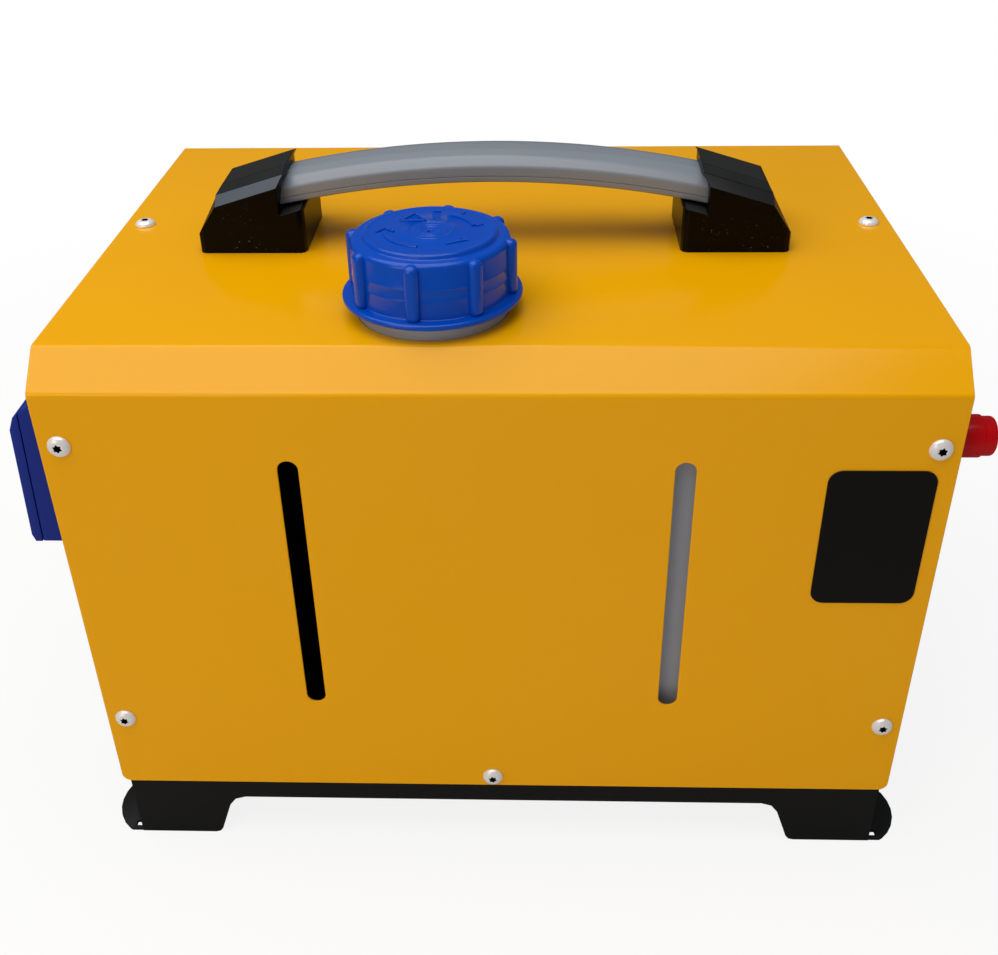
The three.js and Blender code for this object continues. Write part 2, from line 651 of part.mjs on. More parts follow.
/** Right end panel without its openings: a plate with flanges for the cover screws. */
function blankPanel() {
  const bottom = FLOOR_TOP + GAP;
  const step = SKIRT_TOP + GAP;
  const inset = SKIRT_OUTER_Y - TRAY_SHEET - GAP;
  const shoulder = CASE_TOP - FOLD_DROP - GAP;
  const plateShape = outline([
    [-inset, bottom],
    [inset, bottom],
    [inset, step],
    [SKIRT_OUTER_Y, step],
    [SKIRT_OUTER_Y, shoulder],
    [SKIRT_OUTER_Y - FOLD_DEPTH, SHEET_TOP],
    [FOLD_DEPTH - SKIRT_OUTER_Y, SHEET_TOP],
    [-SKIRT_OUTER_Y, shoulder],
    [-SKIRT_OUTER_Y, step],
    [-inset, step],
  ]);
  const plate = alongX(plateShape, PANEL_INNER_X, PANEL_OUTER_X);
  const inner = PANEL_OUTER_X - PANEL_FLANGE;
  const frontFlange = box(
    inner, PANEL_OUTER_X,
    -SKIRT_OUTER_Y, PANEL_SHEET - SKIRT_OUTER_Y,
    step, shoulder - PANEL_SHEET,
  );
  const topReach = SKIRT_OUTER_Y - FOLD_DEPTH - PANEL_SHEET;
  const topFlange = box(inner, PANEL_OUTER_X, -topReach, topReach, SHEET_TOP - PANEL_SHEET, SHEET_TOP);
  const floorFlange = box(inner, PANEL_OUTER_X, -inset, inset, bottom, bottom + PANEL_SHEET);
  return cut(join(plate, frontFlange, mirroredY(frontFlange), topFlange, floorFlange), screwHoles(SCREW_HOLE_RADIUS));
}

function buildEndPanels() {
  const blank = blankPanel();
  const ductHole = (radius, side) => {
    const [from, to] = [PANEL_INNER_X - THROUGH, PANEL_OUTER_X + THROUGH];
    return onX(side > 0 ? cylinder(radius, from, to, 28) : cylinder(radius, -to, -from, 28), HEATER_Y, HEATER_Z);
  };
  const terminalHoles = [POSITIVE_Y, NEGATIVE_Y].map((y) => onX(
    cylinder(BUSH_SPIGOT_RADIUS + GAP, PANEL_INNER_X - THROUGH, PANEL_OUTER_X + THROUGH, 12),
    y,
    TERMINAL_Z,
  ));
  const right = cut(blank, ductHole(HEATER_OUTLET_RADIUS + DUCT_WALL + GAP, 1), ...terminalHoles);
  const left = cut(mirroredX(blank), ductHole(GRILLE_OPENING_RADIUS + DUCT_WALL + GAP, -1));
  piece('right_end_panel', right, blackPowder());
  piece('left_end_panel', left, blackPowder());
}

// ---- Handle ----

/** Arc of the handle in the XZ plane, at a height above the underside of the grip. */
class HandleArc extends THREE.Curve {
  constructor(halfSpan, height) {
    super();
    this.radius = GRIP_ARC_RADIUS + height;
    this.angle = Math.asin(halfSpan / GRIP_ARC_RADIUS);
  }

  getPoint(t, target = new THREE.Vector3()) {
    const angle = this.angle * (2 * t - 1);
    const [x, z] = [this.radius * Math.sin(angle), this.radius * Math.cos(angle)];
    return target.set(TRIM_X + x, HANDLE_Y, GRIP_CENTRE_Z + z);
  }
}

/** Runs a section of [across, up] along the handle's arc. */
function alongArc(section, holes, halfSpan, steps) {
  const shape = new THREE.Shape(section.map(([across, up]) => new THREE.Vector2(across, -up)));
  const opening = (hole) => new THREE.Path(hole.map(([across, up]) => new THREE.Vector2(across, -up)).reverse());
  shape.holes = holes.map(opening);
  const extrudePath = new HandleArc(halfSpan, 0);
  return toSolid(new THREE.ExtrudeGeometry(shape, { steps, extrudePath, bevelEnabled: false }));
}

/** Section of the grip: flat underside, upright sides and a crowned top, grown by a clearance. */
function gripSection(grow) {
  const half = GRIP_WIDTH / 2 + grow;
  const crown = [];
  const crownSteps = 6;
  for (let k = 0; k <= crownSteps; k += 1) {
    const angle = (Math.PI * k) / crownSteps;
    crown.push([half * Math.cos(angle), GRIP_SIDE + (GRIP_CROWN + grow) * Math.sin(angle)]);
  }
  return [[-half, -grow], [half, -grow], ...crown];
}

function stripSection(grow) {
  const half = STRIP_WIDTH / 2 + grow;
  const [low, high] = [STRIP_HEIGHT - grow, STRIP_HEIGHT + STRIP_THICKNESS + grow];
  return [[-half, low], [half, low], [half, high], [-half, high]];
}

/** Side view of the right foot: upright outer wall, slope, hood and the ledge below the grip. */
function footProfile() {
  const slope = (FOOT_FACE_TOP - FOOT_LOW_EDGE) / (FOOT_LOW_EDGE_REACH - HOOD_MOUTH);
  const rise = HOOD_RISE[2];
  const lean = (FOOT_OUTER - FOOT_LOW_EDGE_REACH) / (FOOT_LOW_EDGE - FOOT_WALL_TOP);
  const crownDrop = FOOT_LOW_EDGE + rise + slope * (FOOT_LOW_EDGE_REACH - FOOT_OUTER) - FOOT_WALL_TOP;
  const climb = crownDrop / (1 - slope * lean);
  return outline([
    [FOOT_INNER, 0],
    [FOOT_OUTER, 0],
    [FOOT_OUTER, FOOT_WALL_TOP],
    [FOOT_OUTER - lean * climb, FOOT_WALL_TOP + climb, 2],
    [HOOD_MOUTH, FOOT_FACE_TOP + rise],
    [HOOD_MOUTH, LEDGE_LOW],
    [FOOT_INNER, LEDGE_HIGH, 1],
  ]);
}

/** Faceted hood over the foot: its section run along the slope of the hood. */
function hoodEnvelope() {
  const half = FOOT_DEPTH / 2;
  const below = -3 * FOOT_FACE_TOP;
  const facets = HOOD_RISE.map((rise, i) => [half - HOOD_INSET[i], rise]);
  const section = [[-half, below], [half, below], ...facets, ...facets.map(([y, z]) => [-y, z]).reverse()];
  const shape = new THREE.Shape(section.map(([y, z]) => new THREE.Vector2(y, z)));
  const span = 2 * FOOT_OUTER;
  const geometry = new THREE.ExtrudeGeometry(shape, { depth: span, bevelEnabled: false });
  geometry.applyMatrix4(new THREE.Matrix4().makeBasis(Y_AXIS, Z_AXIS, X_AXIS)).translate(-span / 2, 0, 0);
  const fall = Math.atan2(FOOT_FACE_TOP - FOOT_LOW_EDGE, FOOT_LOW_EDGE_REACH - HOOD_MOUTH);
  geometry.rotateY(fall).translate(HOOD_MOUTH, 0, FOOT_FACE_TOP);
  return toSolid(geometry);
}

/** Right foot in its own frame: X outwards from the trim line, Z up from the case top. */
function footSolid() {
  const half = FOOT_DEPTH / 2;
  const block = alongY(footProfile(), -half, half, 1);
  const plan = rectangle(FOOT_INNER, FOOT_OUTER, -half, half, FOOT_CORNER_RADIUS);
  const body = common(block, hoodEnvelope(), alongZ(plan, 0, 2 * FOOT_FACE_TOP, 1));
  const toLocal = new THREE.Matrix4().makeTranslation(-TRIM_X, -HANDLE_Y, -CASE_TOP);
  const gripSocket = placed(alongArc(gripSection(GAP), [], GRIP_HALF_SPAN + GAP, 16), toLocal);
  const stripSocket = placed(alongArc(stripSection(GAP), [], STRIP_HALF_SPAN + GAP, 16), toLocal);
  const boltTop = HANDLE_BOLT_LENGTH - COVER_SHEET;
  const boltHole = onZ(cylinder(HANDLE_BOLT_RADIUS + GAP, -THROUGH, boltTop, 10), HANDLE_BOLT_REACH, 0);
  return cut(body, gripSocket, stripSocket, boltHole);
}

function buildHandle() {
  const right = piece('handle_foot_right', footSolid(), glossBlack());
  right.position.set(TRIM_X, HANDLE_Y, CASE_TOP);
  const left = piece('handle_foot_left', footSolid(), glossBlack());
  left.position.copy(right.position);
  left.rotation.z = Math.PI;
  const sleeve = alongArc(gripSection(0), [stripSection(GAP)], GRIP_HALF_SPAN, 16);
  piece('handle_grip', sleeve, greySleeve());
  const eyes = [-1, 1].map((side) => onZ(
    cylinder(HANDLE_BOLT_RADIUS + GAP, CASE_TOP, CASE_TOP + 2 * GRIP_APEX, 10),
    TRIM_X + side * HANDLE_BOLT_REACH,
    HANDLE_Y,
  ));
  piece('handle_strip', cut(alongArc(stripSection(0), [], STRIP_HALF_SPAN, 16), ...eyes), steel());
  buildHandleBolts();
}

function buildHandleBolts() {
  const seat = SHEET_TOP + GAP - GAP / 6;
  const bolt = turned([
    [0, -HANDLE_BOLT_HEAD_HEIGHT],
    [HANDLE_BOLT_HEAD_RADIUS, -HANDLE_BOLT_HEAD_HEIGHT],
    [HANDLE_BOLT_HEAD_RADIUS, 0],
    [HANDLE_BOLT_RADIUS, 0],
    [HANDLE_BOLT_RADIUS, HANDLE_BOLT_LENGTH - 2 * GAP],
    [0, HANDLE_BOLT_LENGTH - 2 * GAP],
  ], 10);
  for (const [place, side] of [['left', -1], ['right', 1]]) {
    const mesh = piece(`handle_bolt_${place}`, bolt, zinc());
    mesh.position.set(TRIM_X + side * HANDLE_BOLT_REACH, HANDLE_Y, seat);
  }
}

// ---- Fuel tank, cap and pump ----

function buildTank() {
  const bottom = FLOOR_TOP + GAP;
  const w = TANK_WALL;
  const shell = rolledBox(
    TANK_LEFT, TANK_RIGHT, TANK_FRONT, TANK_BACK, bottom, TANK_TOP, TANK_CORNER_RADIUS, TANK_EDGE_RADIUS);
  const hollow = rolledBox(
    TANK_LEFT + w, TANK_RIGHT - w, TANK_FRONT + w, TANK_BACK - w, bottom + w, TANK_TOP - w,
    TANK_CORNER_RADIUS - w, TANK_EDGE_RADIUS - w);
  const root = TANK_TOP - w;
  const neck = turned([
    [0, root],
    [NECK_COLLAR_RADIUS, root],
    [NECK_COLLAR_RADIUS, CASE_TOP + NECK_COLLAR_HEIGHT],
    [NECK_THREAD_RADIUS, CASE_TOP + NECK_COLLAR_HEIGHT],
    [NECK_THREAD_RADIUS, CASE_TOP + NECK_HEIGHT],
    [0, CASE_TOP + NECK_HEIGHT],
  ], 32);
  const bore = cylinder(NECK_BORE_RADIUS, root - THROUGH, CASE_TOP + NECK_HEIGHT + THROUGH, 24);
  const pickupHole = cylinder(PICKUP_PIPE_RADIUS + GAP, root - THROUGH, TANK_TOP + THROUGH, 8);
  const body = join(shell, onZ(neck, NECK_X, NECK_Y));
  piece(
    'fuel_tank',
    cut(body, hollow, onZ(bore, NECK_X, NECK_Y), onZ(pickupHole, PICKUP_X, PICKUP_Y)),
    naturalPlastic(),
  );
}

/** One grip rib of the cap, standing out along +X from the skirt, above the flange. */
function capRib(bottom) {
  const half = CAP_RIB_WIDTH / 2;
  const reach = CAP_SKIRT_RADIUS + CAP_RIB_REACH;
  const shape = outline([
    [CAP_SKIRT_RADIUS - half, -half],
    [reach, -half, half * 0.7],
    [reach, half, half * 0.7],
    [CAP_SKIRT_RADIUS - half, half],
  ]);
  return alongZ(shape, bottom, CAP_SHOULDER_HEIGHT - 1, 1);
}

/** Cap in its own frame: Z up from the case top. */
function capSolid() {
  const bottom = NECK_COLLAR_HEIGHT + GAP;
  const flangeTop = bottom + CAP_FLANGE_THICKNESS;
  const bore = NECK_THREAD_RADIUS + CAP_THREAD_CLEARANCE;
  const ceiling = CAP_HEIGHT - CAP_ROOF;
  const shoulder = 2.4;
  const edge = 1;
  const shell = turned([
    [bore, bottom],
    [CAP_FLANGE_RADIUS, bottom],
    [CAP_FLANGE_RADIUS, flangeTop - edge],
    [CAP_FLANGE_RADIUS - edge, flangeTop],
    [CAP_SKIRT_RADIUS, flangeTop],
    [CAP_SKIRT_RADIUS, CAP_SHOULDER_HEIGHT - shoulder],
    [CAP_SKIRT_RADIUS - shoulder, CAP_SHOULDER_HEIGHT],
    [CAP_DISC_RADIUS, CAP_SHOULDER_HEIGHT],
    [CAP_DISC_RADIUS, CAP_HEIGHT - edge],
    [CAP_DISC_RADIUS - edge, CAP_HEIGHT],
    [0, CAP_HEIGHT],
    [0, ceiling],
    [bore, ceiling],
  ], 32);
  const ribs = Array.from({ length: CAP_RIBS }, (_, k) => placed(
    capRib(flangeTop - edge),
    new THREE.Matrix4().makeRotationZ(CAP_RIB_PHASE + (2 * Math.PI * k) / CAP_RIBS),
  ));
  return join(shell, ...ribs);
}

function buildCap() {
  piece('fuel_cap', capSolid(), bluePlastic()).position.set(NECK_X, NECK_Y, CASE_TOP);
  const sealBottom = NECK_HEIGHT + GAP;
  const seal = cylinder(NECK_THREAD_RADIUS - GAP, sealBottom, sealBottom + SEAL_THICKNESS, 24);
  piece('cap_seal', seal, rubber()).position.set(NECK_X, NECK_Y, CASE_TOP);
}

function buildPickup() {
  const flangeTop = 3.5;
  const spigotTop = 9;
  const depth = TANK_TOP - FLOOR_TOP - 12;
  const body = turned([
    [0, -depth],
    [PICKUP_PIPE_RADIUS, -depth],
    [PICKUP_PIPE_RADIUS, GAP / 6],
    [PICKUP_FLANGE_RADIUS, GAP / 6],
    [PICKUP_FLANGE_RADIUS, flangeTop],
    [PUMP_SPIGOT_RADIUS, flangeTop],
    [PUMP_SPIGOT_RADIUS, spigotTop],
    [0, spigotTop],
  ], 12);
  const spigot = placed(
    cylinder(PUMP_SPIGOT_RADIUS, 0, PICKUP_FLANGE_RADIUS + 4, 12),
    new THREE.Matrix4().makeTranslation(0, 0, spigotTop - PUMP_SPIGOT_RADIUS).multiply(Z_TO_Y),
  );
  piece('fuel_pickup', join(body, spigot), brass()).position.set(PICKUP_X, PICKUP_Y, TANK_TOP);
}

/** A hose along a smooth curve through points. */
function hose(points, steps) {
  const extrudePath = new THREE.CatmullRomCurve3(points.map(([x, y, z]) => new THREE.Vector3(x, y, z)));
  const section = new THREE.Shape();
  const sides = 5;
  for (let k = 0; k < sides; k += 1) {
    const angle = (2 * Math.PI * k) / sides;
    const [x, y] = [HOSE_RADIUS * Math.cos(angle), HOSE_RADIUS * Math.sin(angle)];
    if (k === 0) section.moveTo(x, y);
    else section.lineTo(x, y);
  }
  section.closePath();
  return toSolid(new THREE.ExtrudeGeometry(section, { steps, extrudePath, bevelEnabled: false }));
}

/** Pump frame: along Y, rising to the back. */
const pumpMatrix = new THREE.Matrix4()
  .makeTranslation(PUMP_X, PUMP_Y, PUMP_Z)
  .multiply(new THREE.Matrix4().makeRotationX(PUMP_TILT))
  .multiply(Z_TO_Y);

function pumpPoint(along) {
  return new THREE.Vector3(0, 0, along).applyMatrix4(pumpMatrix);
}

function buildPump() {
  const half = PUMP_LENGTH / 2;
  const end = half + PUMP_SPIGOT_LENGTH;
  const neckRadius = PUMP_RADIUS * 0.6;
  const shoulder = 6;
  const body = turned([
    [0, -end],
    [PUMP_SPIGOT_RADIUS, -end],
    [PUMP_SPIGOT_RADIUS, -half],
    [neckRadius, -half],
    [neckRadius, shoulder - half],
    [PUMP_RADIUS, shoulder - half],
    [PUMP_RADIUS, half - shoulder],
    [neckRadius, half - shoulder],
    [neckRadius, half],
    [PUMP_SPIGOT_RADIUS, half],
    [PUMP_SPIGOT_RADIUS, end],
    [0, end],
  ], 16);
  piece('fuel_pump', placed(body, pumpMatrix), steel());
  const bore = PUMP_RADIUS + GAP;
  const ring = placed(tubeRing(bore + CLAMP_WALL, bore, -CLAMP_WIDTH / 2, CLAMP_WIDTH / 2, 16), pumpMatrix);
  const foot = FLOOR_TOP + GAP / 6;
  const width = CLAMP_WIDTH / 2;
  const stand = box(PUMP_X - width / 2, PUMP_X + width / 2, PUMP_Y - width / 2, PUMP_Y + width / 2, foot, PUMP_Z);
  const plate = box(
    PUMP_X - CLAMP_FOOT_LENGTH / 2, PUMP_X + CLAMP_FOOT_LENGTH / 2,
    PUMP_Y - width, PUMP_Y + width,
    foot, foot + CLAMP_WALL,
  );
  const pumpRoom = placed(cylinder(bore, -half, half, 16), pumpMatrix);
  piece('pump_clamp', join(cut(join(stand, plate), pumpRoom), ring), rubber());
}

function buildFuelLines() {
  const reach = PUMP_LENGTH / 2 + PUMP_SPIGOT_LENGTH + GAP;
  const inlet = pumpPoint(-reach);
  const inletLead = pumpPoint(-reach - 8);
  const spigotZ = TANK_TOP + 9 - PUMP_SPIGOT_RADIUS;
  const spigotY = PICKUP_Y + PICKUP_FLANGE_RADIUS + 4 + GAP;
  piece('fuel_line_tank', hose([
    [PICKUP_X, spigotY, spigotZ],
    [PICKUP_X, spigotY + 6, spigotZ],
    [PICKUP_X - 12, spigotY + 15, spigotZ - 10],
    [PICKUP_X - 36, spigotY + 16, TANK_TOP - 42],
    [TANK_LEFT - 4, spigotY + 8, TANK_TOP - 92],
    [TANK_LEFT - 14, PUMP_Y + 6, HEATER_Z],
    [TANK_LEFT - 24, PUMP_Y - 32, PUMP_Z - 8],
    [PUMP_X + 18, PUMP_Y - 48, inletLead.z - 1],
    [PUMP_X + 4, inletLead.y - 2, inletLead.z - 1],
    [inletLead.x, inletLead.y, inletLead.z],
    [inlet.x, inlet.y, inlet.z],
  ], 36), rubber());
  const outlet = pumpPoint(reach);
  const outletLead = pumpPoint(reach + 6);
  const boss = fuelBossEnd();
  piece('fuel_line_heater', hose([
    [outlet.x, outlet.y, outlet.z],
    [outletLead.x, outletLead.y, outletLead.z],
    [PUMP_X + 28, outletLead.y + 4, outletLead.z + 10],
    [boss.x - 24, boss.y - 14, boss.z + 8],
    [boss.x - 4, boss.y - 12, boss.z + 2],
    [boss.x, boss.y - 7, boss.z],
    [boss.x, boss.y - GAP, boss.z],
  ], 20), rubber());
}

// ---- Heater unit ----

/** End of the fuel inlet boss on the heater's lower case. */
function fuelBossEnd() {
  return new THREE.Vector3(-52, HEATER_Y - HEATER_WIDTH / 2 - 8, HEATER_Z - 16);
}

/** Rounded casing body along X, shrunk by a wall. */
function casingBody(shrink) {
  const [w, h] = [HEATER_WIDTH / 2 - shrink, HEATER_HEIGHT / 2 - shrink];
  const edge = HEATER_SHOULDER - shrink;
  const shape = rectangle(-w + edge, w - edge, -h + edge, h - edge, HEATER_CORNER_RADIUS - HEATER_SHOULDER);
  const geometry = new THREE.ExtrudeGeometry(shape, {
    depth: HEATER_LENGTH - 2 * shrink - 2 * edge,
    bevelEnabled: true,
    bevelThickness: edge,
    bevelSize: edge,
    bevelSegments: 2,
    curveSegments: 1,
  });
  geometry.applyMatrix4(new THREE.Matrix4().makeBasis(Y_AXIS, Z_AXIS, X_AXIS));
  return toSolid(geometry.translate(shrink + edge - HEATER_LENGTH / 2, HEATER_Y, HEATER_Z));
}

function buildHeaterCase() {
  const half = HEATER_LENGTH / 2;
  const intake = onX(cylinder(HEATER_INTAKE_RADIUS, -half - THROUGH, -half + 2 * HEATER_SHOULDER, 24), HEATER_Y, HEATER_Z);
  const outlet = onX(cylinder(HEATER_OUTLET_RADIUS, half - 2 * HEATER_SHOULDER, half + THROUGH, 24), HEATER_Y, HEATER_Z);
  const footRoom = box(
    neckCentreX() - EXCHANGER_NECK_LENGTH / 2 - GAP, neckCentreX() + EXCHANGER_NECK_LENGTH / 2 + GAP,
    HEATER_Y - EXCHANGER_NECK_WIDTH / 2 - GAP, HEATER_Y + EXCHANGER_NECK_WIDTH / 2 + GAP,
    0, HEATER_Z,
  );
  const boss = fuelBossEnd();
  const bossStub = placed(
    cylinder(PUMP_SPIGOT_RADIUS, 0, 8 + HEATER_WALL / 2, 12),
    new THREE.Matrix4().makeTranslation(boss.x, boss.y, boss.z).multiply(Z_TO_Y),
  );
  const plugRoom = onZ(
    cylinder(GLOW_PLUG_RADIUS + GAP, HEATER_Z, HEATER_Z + HEATER_HEIGHT, 10),
    GLOW_PLUG_X,
    HEATER_Y,
  );
  const shell = cut(casingBody(0), casingBody(HEATER_WALL), intake, outlet, footRoom, plugRoom);
  const far = HEATER_LENGTH;
  const below = box(-far, far, -far, far, -far, HEATER_Z - GAP / 2);
  const above = box(-far, far, -far, far, HEATER_Z + GAP / 2, far);
  piece('heater_case_lower', join(common(shell, below), bossStub), darkPlastic());
  piece('heater_case_upper', common(shell, above), darkPlastic());
}

const neckCentreX = () => (EXHAUST_X + AIR_X) / 2;

function buildExchanger() {
  const [left, right] = [EXCHANGER_LEFT, EXCHANGER_RIGHT];
  const tube = onX(cylinder(EXCHANGER_RADIUS, left, right, 28), HEATER_Y, HEATER_Z);
  const hollow = onX(
    cylinder(EXCHANGER_RADIUS - EXCHANGER_WALL, left - THROUGH, right - EXCHANGER_WALL, 28),
    HEATER_Y,
    HEATER_Z,
  );
  const finRoot = EXCHANGER_RADIUS - EXCHANGER_WALL / 2;
  const fin = box(
    left + 24, right,
    -FIN_THICKNESS / 2, FIN_THICKNESS / 2,
    finRoot, EXCHANGER_RADIUS + FIN_HEIGHT,
  );
  const fins = [];
  for (let k = 0; k < FIN_COUNT; k += 1) {
    const angle = (2 * Math.PI * (k + 0.5)) / FIN_COUNT;
    const turn = new THREE.Matrix4().makeRotationX(angle);
    fins.push(placed(fin, new THREE.Matrix4().makeTranslation(0, HEATER_Y, HEATER_Z).multiply(turn)));
  }
  const footBottom = FLOOR_TOP + GAP / 6;
  const [x, y] = [neckCentreX(), HEATER_Y];
  const foot = box(
    x - EXCHANGER_FOOT_LENGTH / 2, x + EXCHANGER_FOOT_LENGTH / 2,
    y - EXCHANGER_FOOT_WIDTH / 2, y + EXCHANGER_FOOT_WIDTH / 2,
    footBottom, footBottom + EXCHANGER_FOOT_THICKNESS,
  );
  const neck = box(
    x - EXCHANGER_NECK_LENGTH / 2, x + EXCHANGER_NECK_LENGTH / 2,
    y - EXCHANGER_NECK_WIDTH / 2, y + EXCHANGER_NECK_WIDTH / 2,
    footBottom, HEATER_Z - finRoot + EXCHANGER_WALL,
  );
  const ports = [EXHAUST_X, AIR_X].map((px) =>
    onZ(cylinder(STUB_RADIUS - STUB_WALL, footBottom - THROUGH, HEATER_Z, 14), px, HEATER_Y));
  const plugHole = onZ(
    cylinder(GLOW_PLUG_RADIUS + GAP, HEATER_Z, HEATER_Z + HEATER_HEIGHT, 10),
    GLOW_PLUG_X,
    HEATER_Y,
  );
  const body = join(tube, ...fins, foot, neck);
  piece('heat_exchanger', cut(body, hollow, ...ports, plugHole), castAluminium());
}

function buildBurner() {
  const flangeLeft = EXCHANGER_LEFT - GAP - BURNER_FLANGE_THICKNESS;
  const [r, w] = [BURNER_RADIUS, BURNER_WALL];
  const cup = turned([
    [SHAFT_BORE, flangeLeft],
    [BURNER_FLANGE_RADIUS, flangeLeft],
    [BURNER_FLANGE_RADIUS, flangeLeft + BURNER_FLANGE_THICKNESS],
    [r, flangeLeft + BURNER_FLANGE_THICKNESS],
    [r, flangeLeft + BURNER_LENGTH],
    [r - w, flangeLeft + BURNER_LENGTH],
    [r - w, flangeLeft + BURNER_FLANGE_THICKNESS],
    [SHAFT_BORE, flangeLeft + BURNER_FLANGE_THICKNESS],
  ], 20);
  const plugHole = onZ(
    cylinder(GLOW_PLUG_RADIUS + GAP, HEATER_Z, HEATER_Z + HEATER_HEIGHT, 10),
    GLOW_PLUG_X,
    HEATER_Y,
  );
  piece('burner_insert', cut(onX(cup, HEATER_Y, HEATER_Z), plugHole), steel());
  const tip = HEATER_Z + BURNER_RADIUS - 8;
  const hexFrom = HEATER_Z + EXCHANGER_RADIUS + GAP;
  const plug = turned([
    [0, tip],
    [GLOW_PLUG_RADIUS * 0.5, tip],
    [GLOW_PLUG_RADIUS * 0.5, tip + 6],
    [GLOW_PLUG_RADIUS, tip + 8],
    [GLOW_PLUG_RADIUS, tip + GLOW_PLUG_LENGTH],
    [0, tip + GLOW_PLUG_LENGTH],
  ], 10);
  const nut = tubeRing(GLOW_PLUG_RADIUS + 2.5, GLOW_PLUG_RADIUS - 1, hexFrom, hexFrom + 4, 6);
  piece('glow_plug', onZ(join(plug, nut), GLOW_PLUG_X, HEATER_Y), zinc());
}

function buildMotor() {
  const outer = BURNER_FLANGE_RADIUS;
  const profile = turned([
    [SHAFT_BORE, MOTOR_LEFT],
    [MOTOR_RADIUS * 0.7, MOTOR_LEFT],
    [MOTOR_RADIUS, MOTOR_LEFT + 5],
    [MOTOR_RADIUS, MOTOR_RIGHT],
    [outer, MOTOR_RIGHT],
    [outer, CHAMBER_RIGHT],
    [outer - CHAMBER_WALL, CHAMBER_RIGHT],
    [outer - CHAMBER_WALL, MOTOR_RIGHT + CHAMBER_WALL],
    [SHAFT_BORE, MOTOR_RIGHT + CHAMBER_WALL],
  ], 20);
  piece('fan_motor', onX(profile, HEATER_Y, HEATER_Z), castAluminium());
}

/** Backward-curved blades on a back plate, blades towards +Z, in the impeller's own frame. */
function impeller(radius, depth, bladeCount, hubRadius) {
  const plate = 2;
  const back = cylinder(radius, 0, plate, 24);
  const hub = cylinder(hubRadius, 0, depth * 0.7, 12);
  const inner = radius * 0.42;
  const lean = 0.5;
  const curve = [0, 0.5, 1].map((t) => {
    const r = inner + (radius - inner) * t;
    return new THREE.Vector2(r * Math.cos(lean * t * t), r * Math.sin(lean * t * t));
  });
  const blade = alongZ(foldedSheet(curve.map((p) => [p.x, p.y]), BLADE_THICKNESS), plate / 2, depth);
  const blades = Array.from({ length: bladeCount }, (_, k) => placed(
    blade,
    new THREE.Matrix4().makeRotationZ((2 * Math.PI * k) / bladeCount),
  ));
  return common(join(back, hub, ...blades), cylinder(radius, -THROUGH, depth, 24));
}

function buildRotor() {
  const blowerRight = MOTOR_LEFT - 6;
  const shaftLeft = blowerRight - BLOWER_DEPTH;
  const shaftRight = CHAMBER_RIGHT - 3;
  const shaft = cylinder(SHAFT_RADIUS, shaftLeft, shaftRight, 10);
  const facing = new THREE.Matrix4().makeTranslation(0, 0, blowerRight).multiply(new THREE.Matrix4().makeRotationX(Math.PI));
  const blower = placed(impeller(BLOWER_RADIUS, BLOWER_DEPTH, BLOWER_BLADES, 12), facing);
  piece('blower_impeller', onX(join(blower, shaft), HEATER_Y, HEATER_Z), darkPlastic());
  const fan = cut(impeller(FAN_RADIUS, FAN_DEPTH, FAN_BLADES, 8), cylinder(SHAFT_BORE, -THROUGH, FAN_DEPTH + THROUGH, 10));
  const fanLeft = MOTOR_RIGHT + CHAMBER_WALL + 3;
  piece('combustion_impeller', onX(shifted(fan, 0, 0, fanLeft), HEATER_Y, HEATER_Z), castAluminium());
}

function buildControlUnit() {
  const [w, d, h] = CONTROL_UNIT_SIZE;
  const bottom = FLOOR_TOP + GAP / 6;
  const body = rolledBox(
    CONTROL_UNIT_X - w / 2, CONTROL_UNIT_X + w / 2,
    CONTROL_UNIT_Y - d / 2, CONTROL_UNIT_Y + d / 2,
    bottom, bottom + h,
    4, 2,
  );
  const socket = box(
    CONTROL_UNIT_X - w / 4, CONTROL_UNIT_X + w / 4,
    CONTROL_UNIT_Y - d / 4, CONTROL_UNIT_Y + d / 4,
    bottom + h - 8, bottom + h + THROUGH,
  );
  piece('control_unit', cut(body, socket), darkPlastic());
}

function buildPipeStubs() {
  const top = FLOOR_TOP - GAP;
  for (const [name, x, material] of [['exhaust_stub', EXHAUST_X, steel()], ['air_stub', AIR_X, castAluminium()]]) {
    const pipe = tubeRing(STUB_RADIUS, STUB_RADIUS - STUB_WALL, STUB_BOTTOM, top, 16);
    piece(name, onZ(pipe, x, HEATER_Y), material);
  }
}

// ---- Ducts ----

function buildOutletCollar() {
  const face = PANEL_OUTER_X + GAP;
  const bore = HEATER_OUTLET_RADIUS;
  const wall = bore + DUCT_WALL;
  const inner = HEATER_LENGTH / 2 + GAP;
  const profile = turned([
    [bore, inner],
    [wall, inner],
    [wall, face],
    [DUCT_FLANGE_RADIUS, face],
    [DUCT_FLANGE_RADIUS, face + DUCT_FLANGE_THICKNESS],
    [wall, face + DUCT_FLANGE_THICKNESS],
    [wall, DUCT_REACH - 5],
    [wall + DUCT_BEAD, DUCT_REACH - 3.5],
    [wall, DUCT_REACH - 2],
    [wall, DUCT_REACH],
    [bore, DUCT_REACH],
  ], 28);
  piece('outlet_collar', onX(profile, HEATER_Y, HEATER_Z), darkPlastic());
}

